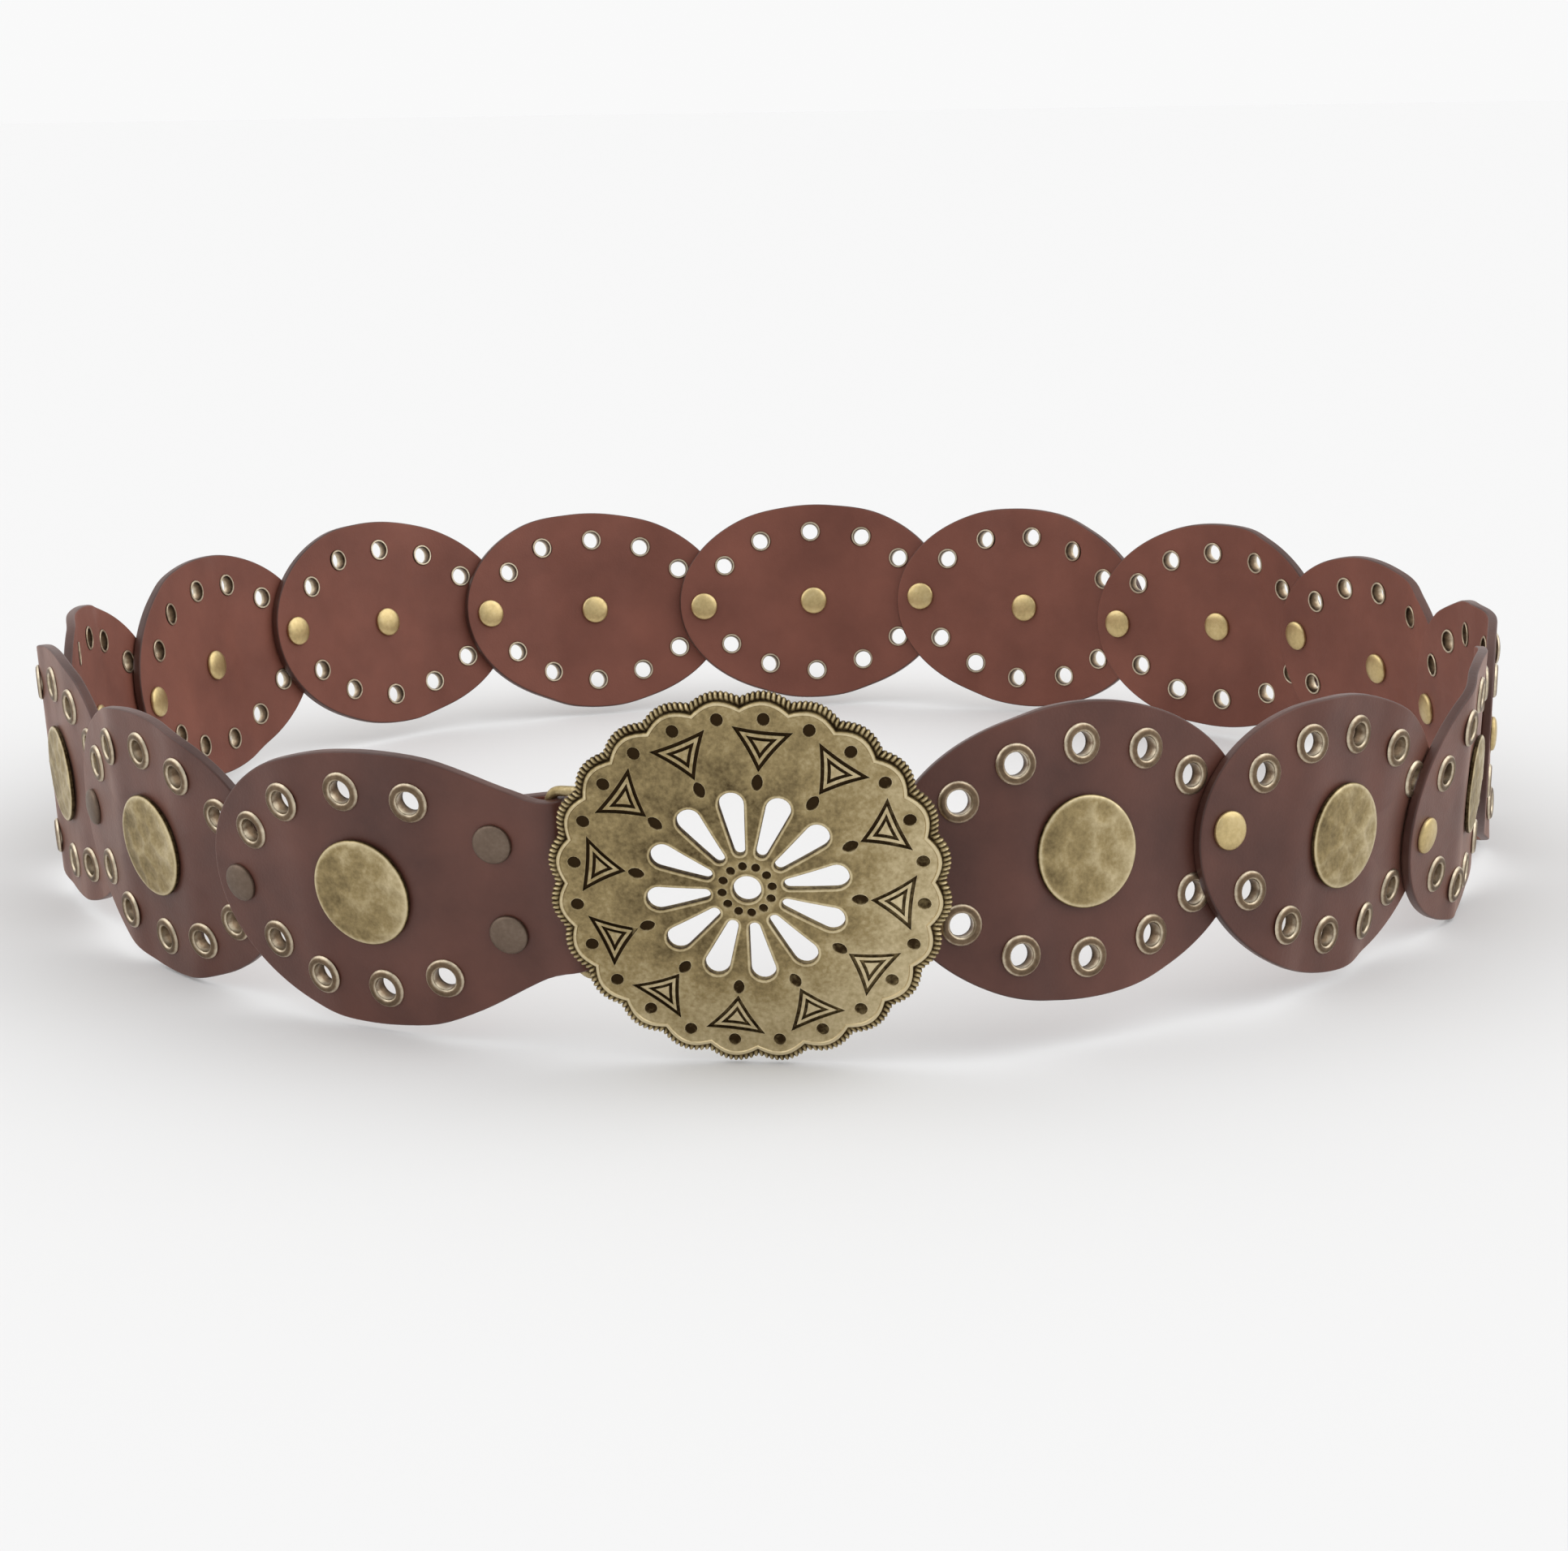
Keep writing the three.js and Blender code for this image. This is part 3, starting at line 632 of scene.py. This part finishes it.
antique_brass = antique_metal("hammered_antique_brass", BRASS_BRIGHT, BRASS, BRASS_DARK, 0.38, 0.24)
gilt_cap = antique_metal("gilt_rivet_cap", GILT_BRIGHT, GILT, GILT_DARK, 0.3, 0.18)
for index, plan in enumerate(plans):
    plate = hammered_concho(seed=index + 1)
    plate.transform(frame_on(plan, 0, 0))
    concho = make_piece(plate, f"hammered_concho_{index + 1:02d}", [antique_brass, gilt_cap])
    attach(concho, "root")
    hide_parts(f"concho_{index + 1:02d}")

# Rivets
# Tubular brass rivets with a domed cap on both sides join the discs, and two hold the folded strap. Caps
# outside on the left are a brown pewter colour, and the others are gilt.
PEWTER_BRIGHT = "#a99a8a"
PEWTER = "#78685b"
PEWTER_DARK = "#3b2f28"
BROWN_CAPS = 4  # joints from the buckle whose outer caps are brown


def rivet(outer_face, inner_face):
    """Two caps on one post."""
    bm = turned(cap_profile(outer_face) + turned_over(cap_profile(-inner_face)), CAP_STEPS)
    for face in bm.faces:
        face.material_index = 0 if face.calc_center_median().z > 0 else 1
    return bm


pewter_cap = antique_metal("brown_pewter_cap", PEWTER_BRIGHT, PEWTER, PEWTER_DARK, 0.42, 0.12)
for index, plan in enumerate(plans[:-1]):
    joint_face = LAP + LEATHER / 2
    post = rivet(joint_face, -joint_face)
    post.transform(frame_on(plan, -JOINT_X, 0, -LAP))
    outer = pewter_cap if index < BROWN_CAPS else gilt_cap
    joint_rivet = make_piece(post, f"capped_rivet_{index + 1:02d}", [outer, gilt_cap])
    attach(joint_rivet, "root")
    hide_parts(f"joint_rivet_{index + 1:02d}")
for which, height in zip(("upper", "lower"), STRAP_RIVET_HEIGHTS):
    post = rivet(LEATHER / 2, -LAP_GAP - 1.5 * LEATHER)
    post.transform(frame_on(plans[0], STRAP_RIVET_X, height))
    strap_rivet = make_piece(post, f"capped_strap_rivet_{which}", [pewter_cap, gilt_cap])
    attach(strap_rivet, "root")
    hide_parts(f"strap_rivet_{which}")

# Buckle plate
# A cast zinc disc, domed and scalloped, plated antique brass: twelve slots and a hub hole are pierced
# through, and dots, leaf marks and nested triangles are struck in its face and blackened.
BUCKLE_PLACE = LOOP_CENTRE + Vector((-5.24, -202.03, 42.7))
BUCKLE_YAW_DEG = -5.9
BUCKLE_LEAN_DEG = 9.2
BUCKLE_TURN_DEG = 6.6
PLATE_THICK = 1.8
SCALLOPS = 24
SCALLOP_STEPS = 10
Scallop = namedtuple("Scallop", "peak depth")
FACE_EDGE = Scallop(40.5, 1.85)
RIM_WALL = (  # how much the outline grows, its height, its patina
    (0, 0, -0.2),
    (0.2, 0.26, -0.9),
    (0.62, 0.3, -0.9),
    (0.95, 0.05, 0.1),
    (1, -1.2, 0.4),
    (1, -PLATE_THICK, 0.4),
)
HOLE_WALL = ((0.75, 0, 0.3), (0.45, 0.1, -0.6), (0.15, 0, -0.2), (0, -0.3, 0.8), (0, -PLATE_THICK, 0.45))
DOME_HUB = 3.5
DOME_FOOT = 40
DOME_POWER = 1.6
HUB_RADIUS = 3
Slot = namedtuple("Slot", "inner inner_radius outer outer_radius")
SLOT = Slot(9.1, 1.2, 19.2, 2.7)
PETALS = 12
PETAL_SWELL = 0.3
PETAL_RADII = (9, 24, 36)
DOT_ROWS = (  # how many, distance from the middle, half size along and across, turn of the first in steps
    (24, 37.5, 1.6, 1.5, 0),
    (12, 23.9, 1.95, 1.35, 0),
    (12, 5.4, 1.15, 1.1, 0.5),
)
DOT_STEPS = ((0, 0, -0.1), (-0.1, 0.04, -0.75), (-0.26, -0.3, 0.9), (-0.6, -0.45, 1))  # as in a wall
MARK_POINT = 0.6
TRIANGLE_MIDDLE = 31.9
TRIANGLE_HALF_BASE = 6.3
TRIANGLE_APEX = 5.6
TRIANGLE_FOOT = 3.3
TRIANGLE_WAIST = 0.3
TRIANGLE_INRADIUS = 2.9
GROOVE_DEPTH = 0.5
TRIANGLE_STEPS = (  # as in a wall
    (0.2, 0, -0.1),
    (0.1, 0.04, -0.5),
    (0, -GROOVE_DEPTH, 0.9),
    (-0.6, -0.97 * GROOVE_DEPTH, 0.9),
    (-0.7, 0.02, -0.4),
    (-1.35, 0.04, -0.4),
    (-1.45, -0.97 * GROOVE_DEPTH, 0.9),
    (-1.95, -GROOVE_DEPTH, 0.9),
    (-2.05, -0.05, -0.4),
)
# How strongly the painted reflection darkens the face towards its upper left and lightens it towards its
# lower right
PAINTED_REFLECTION_SLOPE = 0.5
GRID_STEP = 1.25
buckle_frame = (
    Matrix.Translation(BUCKLE_PLACE)
    @ Matrix.Rotation(math.radians(BUCKLE_YAW_DEG), 4, "Z")
    @ Matrix.Rotation(math.radians(90 + BUCKLE_LEAN_DEG), 4, "X")
)


def at_turn(turn, outwards, sideways=0):
    """A point of the plate: turn is in degrees, clockwise from its top."""
    angle = math.radians(turn + BUCKLE_TURN_DEG)
    radial = Vector((math.sin(angle), math.cos(angle), 0))
    across = Vector((math.cos(angle), -math.sin(angle), 0))
    return radial * outwards + across * sideways


def scallop_reach(edge, turn):
    """How far a scalloped edge reaches at a turn."""
    return edge.peak - edge.depth * (1 - abs(math.cos(math.radians(turn * SCALLOPS / 2))))


def loop_of(bm, points):
    """A closed loop of edges through these points."""
    corners = [bm.verts.new(point) for point in points]
    return [bm.edges.new(pair) for pair in zip(corners, corners[1:] + corners[:1])]


def slot_points(turn, growth):
    """A slot's outline, a teardrop that widens outwards."""
    slant = math.asin((SLOT.outer_radius - SLOT.inner_radius) / (SLOT.outer - SLOT.inner))
    points = []
    arcs = (
        (SLOT.outer, SLOT.outer_radius + growth, -slant, math.pi + slant, 12),
        (SLOT.inner, SLOT.inner_radius + growth, math.pi + slant, 2 * math.pi - slant, 7),
    )
    for middle, radius, start, end, steps in arcs:
        for step in range(steps + 1):
            angle = start + (end - start) * step / steps
            points.append(at_turn(turn, middle + radius * math.sin(angle), radius * math.cos(angle)))
    return points


def dot_points(turn, middle, along, across, growth, steps=14):
    """A round mark, or a long one with pointed ends."""
    power = 1 + (along / across - 1) * MARK_POINT
    points = []
    for step in range(steps):
        angle = step * 2 * math.pi / steps
        side = math.copysign(abs(math.sin(angle)) ** power, math.sin(angle))
        points.append(at_turn(turn, middle + (along + growth) * math.cos(angle), (across + growth) * side))
    return points


def triangle_points(turn, growth, steps=8):
    """A triangle with its tip to the middle of the plate and its sides slightly hollow."""
    scale = 1 + growth / TRIANGLE_INRADIUS
    corners = [Vector((-TRIANGLE_APEX, 0)), Vector((TRIANGLE_FOOT, TRIANGLE_HALF_BASE)),
               Vector((TRIANGLE_FOOT, -TRIANGLE_HALF_BASE))]
    points = []
    for start, end in zip(corners, corners[1:] + corners[:1]):
        side = end - start
        inwards = Vector((side.y, -side.x)).normalized()
        for step in range(steps):
            share = step / steps
            spot = start + side * share + inwards * TRIANGLE_WAIST * math.sin(math.pi * share)
            points.append(at_turn(turn, TRIANGLE_MIDDLE + spot.x * scale, spot.y * scale))
    return points


def dome(point):
    """The face's rise over its rim: a broad dome with a faint swelling at each slot."""
    radius = math.hypot(point.x, point.y)
    share = min(radius / DOME_FOOT, 1) ** DOME_POWER
    inner, middle, outer = PETAL_RADII
    swell = ease((radius - inner) / (middle - inner)) * (1 - ease((radius - middle) / (outer - middle)))
    turn = math.atan2(point.x, point.y) - math.radians(BUCKLE_TURN_DEG)
    return DOME_HUB * (1 + math.cos(math.pi * share)) / 2 - PETAL_SWELL * swell * math.cos(turn * PETALS)


def wall(bm, layer, outline_of, steps):
    """Joined loops from the plate's face down its rim, a hole or a mark. It gives the first and the last.
    A step is how much the outline grows, its height and its patina. No two neighbours are level."""
    loops = []
    for growth, height, dark in steps:
        loops.append(loop_of(bm, [point + Vector((0, 0, height)) for point in outline_of(growth)]))
        for edge in loops[-1]:
            edge.verts[0][layer] = edge.verts[1][layer] = dark
    for upper, lower in zip(loops, loops[1:]):
        bmesh.ops.bridge_loops(bm, edges=upper + lower)
    return loops[0], loops[-1]


def is_inside(point, outline):
    """Whether a point of the plate lies inside a closed outline."""
    crossings = 0
    for start, end in zip(outline, outline[1:] + outline[:1]):
        if (start.y > point.y) != (end.y > point.y):
            crossings += point.x < start.x + (end.x - start.x) * (point.y - start.y) / (end.y - start.y)
    return crossings % 2 == 1


def plate_mesh():
    """The plate flat, with its rim, holes and marks, then cut finely and raised to its dome."""
    bm = bmesh.new()
    layer = bm.verts.layers.float.new("patina_and_painted_light")
    turns = [step * 360 / (SCALLOPS * SCALLOP_STEPS) for step in range(SCALLOPS * SCALLOP_STEPS)]
    rim_of = lambda growth: [at_turn(turn, scallop_reach(FACE_EDGE, turn) + growth) for turn in turns]
    hub_of = lambda growth: [at_turn(turn, HUB_RADIUS + growth) for turn in range(0, 360, 10)]
    slot_ofs = [partial(slot_points, (slot + 0.5) * 360 / PETALS) for slot in range(PETALS)]
    walls = [wall(bm, layer, rim_of, RIM_WALL)]
    walls += [wall(bm, layer, outline_of, HOLE_WALL) for outline_of in [hub_of] + slot_ofs]
    marks = []
    for count, middle, along, across, first in DOT_ROWS:
        for step in range(count):
            outline_of = partial(dot_points, (step + first) * 360 / count, middle, along, across)
            marks.append(wall(bm, layer, outline_of, DOT_STEPS))
    triangle_ofs = [partial(triangle_points, step * 360 / PETALS) for step in range(PETALS)]
    marks += [wall(bm, layer, outline_of, TRIANGLE_STEPS) for outline_of in triangle_ofs]
    face_edges = [edge for top, _ in walls + marks for edge in top]
    filled = bmesh.ops.triangle_fill(bm, edges=face_edges, use_beauty=True, normal=(0, 0, 1))["geom"]
    outlines = [outline_of(TRIANGLE_STEPS[0][0]) for outline_of in triangle_ofs]
    covers = [part for part in filled if isinstance(part, bmesh.types.BMFace)
              and any(is_inside(part.calc_center_median(), outline) for outline in outlines)]
    bmesh.ops.delete(bm, geom=covers, context="FACES_ONLY")
    for _, floor_edges in marks:
        bmesh.ops.edgeloop_fill(bm, edges=floor_edges)
    back_edges = [edge for _, bottom in walls for edge in bottom]
    bmesh.ops.triangle_fill(bm, edges=back_edges, use_beauty=True, normal=(0, 0, -1))
    bmesh.ops.recalc_face_normals(bm, faces=bm.faces[:])
    line = -FACE_EDGE.peak - 1
    while line < FACE_EDGE.peak + 1:
        for across in ((1, 0, 0), (0, 1, 0)):
            whole = bm.verts[:] + bm.edges[:] + bm.faces[:]
            cut = Vector(across) * line
            bmesh.ops.bisect_plane(bm, geom=whole, dist=1e-4, plane_co=cut, plane_no=across)
        line += GRID_STEP
    for corner in bm.verts:
        # Painted reflection: the face is made darker towards its upper left and lighter towards its lower
        # right
        corner[layer] += PAINTED_REFLECTION_SLOPE * (corner.co.y - corner.co.x) / (2 * FACE_EDGE.peak)
        corner.co.z += dome(corner.co)
    for face in bm.faces:
        face.smooth = True
    return bm


cast_brass = antique_metal("cast_antique_brass", BRASS_BRIGHT, BRASS, BRASS_DARK, 0.4, 0.3)
plate = plate_mesh()
plate.transform(buckle_frame)
buckle_plate = make_piece(plate, "buckle_plate", [cast_brass])
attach(buckle_plate, "root")
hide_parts("buckle")

# Rope border
# The plate's cast edge, a step lower than its face: a bead along the scallops, milled with fine teeth
# that are worn bright on their crests and black between them.
BORDER_EDGE = Scallop(43.45, 1.55)
TEETH = 10  # a scallop
TOOTH_STEPS = 4
TOOTH_REACH = 0.6
TOOTH_DROP = 0.5
BORDER_LOOPS = (  # inwards from the crest, height, share of a tooth, patina between the teeth and on them
    (3.2, -2.3, 0, 0.6, 0.6),
    (3.2, -0.75, 0, 0.9, 0.9),
    (1.9, -0.72, 0.35, 1, 0.8),
    (1.1, -0.5, 0.8, 1, -0.6),
    (0.35, -0.72, 1, 1, -0.7),
    (0.05, -1.2, 1, 1, 0.3),
    (0.15, -1.85, 0.8, 1, 0.5),
    (0.7, -2.25, 0.3, 0.9, 0.6),
)


def border_mesh():
    """Loops along the scallops, joined to a closed bead whose outer side has teeth."""
    bm = bmesh.new()
    layer = bm.verts.layers.float.new("patina_and_painted_light")
    count = SCALLOPS * TEETH * TOOTH_STEPS
    loops = []
    for inwards, height, tooth_share, gap_dark, tooth_dark in BORDER_LOOPS:
        ring = bmesh.ops.create_circle(bm, segments=count, radius=1)["verts"]
        for step, corner in enumerate(ring):
            turn = step * 360 / count
            tooth = abs(math.sin(math.pi * step / TOOTH_STEPS))
            valley = TOOTH_REACH * (1 - tooth) * tooth_share
            corner.co = at_turn(turn, scallop_reach(BORDER_EDGE, turn) - inwards - valley)
            corner.co.z = height - TOOTH_DROP * valley
            corner[layer] = gap_dark + (tooth_dark - gap_dark) * tooth ** 2
        loops.append(list({edge for corner in ring for edge in corner.link_edges}))
    for loop, following in zip(loops, loops[1:] + loops[:1]):
        bmesh.ops.bridge_loops(bm, edges=loop + following)
    finish_faces(bm)
    return bm


border = border_mesh()
border.transform(buckle_frame)
rope_border = make_piece(border, "buckle_rope_border", [cast_brass])
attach(rope_border, "root")
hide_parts("buckle")

# Wire loop and lugs
# A rectangle of brass wire lies in the strap's fold with one leg, and two cast lugs on the plate's back
# hold the other.
WIRE_LOOP_HALF = 21.6
WIRE_CORNER = 3.2
WIRE_STEPS = 12
WIRE_SEAT = 0.3
HINGE_X = -24
LUG_SIZE = Vector((5, 6, 4.6))
LUG_Y = 9
LUG_Z = -1.4
LUG_ROUND = 0.7
to_buckle = buckle_frame.inverted()


def wire_loop_mesh(half_across, half_up):
    """A round section drawn along the legs and spun round the corners."""
    bm = bmesh.new()
    turn_up = Matrix.Rotation(math.radians(90), 4, "X")
    start = Matrix.Translation((half_across, WIRE_CORNER - half_up, 0)) @ turn_up
    section = bmesh.ops.create_circle(bm, segments=WIRE_STEPS, radius=WIRE / 2, matrix=start)["verts"]
    edges = list({edge for corner in section for edge in corner.link_edges})
    legs = ((0, 1, half_up), (-1, 0, half_across), (0, -1, half_up), (1, 0, half_across))
    for across, up, half in legs:
        grown = bmesh.ops.extrude_edge_only(bm, edges=edges)["geom"]
        moved = [part for part in grown if isinstance(part, bmesh.types.BMVert)]
        bmesh.ops.translate(bm, verts=moved, vec=Vector((across, up, 0)) * 2 * (half - WIRE_CORNER))
        edges = [part for part in grown if isinstance(part, bmesh.types.BMEdge) and part.is_boundary]
        middle = sum((corner.co for corner in moved), Vector()) / len(moved)
        centre = middle + Vector((-up, across, 0)) * WIRE_CORNER
        spun = bmesh.ops.spin(bm, geom=moved + edges, cent=centre, axis=(0, 0, 1), angle=math.pi / 2,
                              steps=6)
        edges = [part for part in spun["geom_last"] if isinstance(part, bmesh.types.BMEdge)]
    bmesh.ops.remove_doubles(bm, verts=bm.verts[:], dist=1e-3)
    finish_faces(bm)
    return bm


outer_leg = to_buckle @ strap_frame @ Vector((FOLD_X - STRAP_RIVET_X, 0, FOLD_SWELL - FOLD_RADIUS))
leg_way = (to_buckle @ strap_frame).to_3x3() @ Vector((0, 1, 0))
hinge_leg = Vector((HINGE_X, outer_leg.y, -PLATE_THICK - WIRE / 2 + WIRE_SEAT))
hinge_leg += leg_way * (outer_leg - hinge_leg).dot(leg_way)
across_loop = (hinge_leg - outer_leg).normalized()
loop_frame = basis(across_loop, leg_way, across_loop.cross(leg_way), (outer_leg + hinge_leg) / 2)
wire = wire_loop_mesh((hinge_leg - outer_leg).length / 2, WIRE_LOOP_HALF)
set_patina(wire, lambda point: -0.15)
wire.transform(buckle_frame @ loop_frame)
wire_loop = make_piece(wire, "wire_loop", [cast_brass])
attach(wire_loop, "root")
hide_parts("buckle")

lugs = bmesh.new()
for side in (LUG_Y, -LUG_Y):
    spot = hinge_leg + leg_way * side
    size = Matrix.Diagonal((*LUG_SIZE, 1))
    bmesh.ops.create_cube(lugs, size=1, matrix=Matrix.Translation((spot.x, spot.y, LUG_Z)) @ size)
bmesh.ops.bevel(lugs, geom=lugs.edges[:], offset=LUG_ROUND, segments=3, affect="EDGES", profile=0.5,
                material=-1)
set_patina(lugs, lambda point: 0.3)
lugs.transform(buckle_frame)
loop_lugs = make_piece(lugs, "loop_lugs", [cast_brass])
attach(loop_lugs, "root")
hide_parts("buckle")

# Hook
# A plain post on the plate's back goes through the last disc's hole and turns over inside it.
HOOK_STAND = 2.2
HOOK_DEPTH = LEATHER / 2 + HOOK_STAND
HOOK_TIP = 6
HOOK_CORNER = 1.9
HOOK_STEPS = 12


def hook_mesh(length):
    """A rod from inside the plate to the bend, spun round it and drawn on to its rounded tip."""
    bm = bmesh.new()
    start = Matrix.Translation((0, 0, length))
    section = bmesh.ops.create_circle(bm, segments=HOOK_STEPS, radius=POST_RADIUS, matrix=start)["verts"]
    edges = list({edge for corner in section for edge in corner.link_edges})
    bmesh.ops.edgeloop_fill(bm, edges=edges)
    grown = bmesh.ops.extrude_edge_only(bm, edges=edges)["geom"]
    moved = [part for part in grown if isinstance(part, bmesh.types.BMVert)]
    bmesh.ops.translate(bm, verts=moved, vec=(0, 0, HOOK_CORNER - length))
    edges = [part for part in grown if isinstance(part, bmesh.types.BMEdge) and part.is_boundary]
    spun = bmesh.ops.spin(bm, geom=moved + edges, cent=(-HOOK_CORNER, 0, HOOK_CORNER), axis=(0, 1, 0),
                          angle=math.pi / 2, steps=6)
    edges = [part for part in spun["geom_last"] if isinstance(part, bmesh.types.BMEdge)]
    for forward, width in ((HOOK_TIP - HOOK_CORNER - 0.8, 1), (0.5, 0.85), (0.3, 0.5)):
        grown = bmesh.ops.extrude_edge_only(bm, edges=edges)["geom"]
        moved = [part for part in grown if isinstance(part, bmesh.types.BMVert)]
        bmesh.ops.translate(bm, verts=moved, vec=(-forward, 0, 0))
        middle = sum((corner.co for corner in moved), Vector()) / len(moved)
        bmesh.ops.scale(bm, verts=moved, vec=(1, width, width), space=Matrix.Translation(-middle))
        edges = [part for part in grown if isinstance(part, bmesh.types.BMEdge) and part.is_boundary]
    bmesh.ops.edgeloop_fill(bm, edges=edges)
    bmesh.ops.remove_doubles(bm, verts=bm.verts[:], dist=1e-3)
    finish_faces(bm)
    return bm


hook_frame = frame_on(plans[-1], -JOINT_X, 0, -HOOK_DEPTH)
foot = to_buckle @ hook_frame.translation
way = (to_buckle @ hook_frame).to_3x3() @ Vector((0, 0, 1))
hook_bm = hook_mesh((-PLATE_THICK / 2 - foot.z) / way.z)
set_patina(hook_bm, lambda point: 0.1)
hook_bm.transform(hook_frame)
hook = make_piece(hook_bm, "hook", [cast_brass])
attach(hook, "root")
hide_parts("buckle")

# Floor and light
# A plain near-white floor, with a faint glow that keeps its shadows light, under an even white sky that is
# dimmer behind the camera. A wide soft sun shines from each side, the right one the stronger.
FLOOR_SIZE = 40000
FLOOR_WHITE = "#d4d4d4"
FLOOR_GLOW = 0.15
SKY_LIGHT = 0.95
ROOM_LIGHT = 0.62
ROOM_REACH = 0.75
Sun = namedtuple("Sun", "name azimuth_deg height_deg strength width_deg")
SUNS = [Sun("key_sun", 84, 46, 1.0, 70), Sun("fill_sun", -84, 46, 0.8, 70)]
floor_bm = bmesh.new()
bmesh.ops.create_grid(floor_bm, x_segments=1, y_segments=1, size=FLOOR_SIZE / 2)
floor_paint = bpy.data.materials.new("matt_white_paper")
floor_paint.use_nodes = True
floor_shader = floor_paint.node_tree.nodes["Principled BSDF"]
floor_shader.inputs["Base Color"].default_value = colour(FLOOR_WHITE)
floor_shader.inputs["Roughness"].default_value = 1
floor_shader.inputs["Specular IOR Level"].default_value = 0
floor_shader.inputs["Emission Color"].default_value = colour(FLOOR_WHITE)
floor_shader.inputs["Emission Strength"].default_value = FLOOR_GLOW
floor = make_piece(floor_bm, "floor", [floor_paint])

sky = bpy.data.worlds.new("white_sky")
sky.use_nodes = True
way_of = add_node(sky.node_tree, "ShaderNodeTexCoord").outputs["Generated"]
parts = add_node(sky.node_tree, "ShaderNodeSeparateXYZ", {"Vector": way_of})
light_of = add_node(sky.node_tree, "ShaderNodeMapRange", {
    "Value": parts.outputs["Y"], "From Min": -ROOM_REACH, "From Max": 0,
    "To Min": ROOM_LIGHT, "To Max": SKY_LIGHT,
})
backdrop = sky.node_tree.nodes["Background"]
backdrop.inputs["Color"].default_value = (1, 1, 1, 1)
sky.node_tree.links.new(light_of.outputs["Result"], backdrop.inputs["Strength"])
scene.world = sky
for sun in SUNS:
    light = bpy.data.lights.new(sun.name, "SUN")
    light.energy = sun.strength
    light.angle = math.radians(sun.width_deg)
    lamp = bpy.data.objects.new(sun.name, light)
    turn = Matrix.Rotation(math.radians(sun.azimuth_deg), 4, "Z")
    lamp.matrix_world = turn @ Matrix.Rotation(math.radians(90 - sun.height_deg), 4, "X")
    scene.collection.objects.link(lamp)
scene.view_settings.view_transform = "Standard"
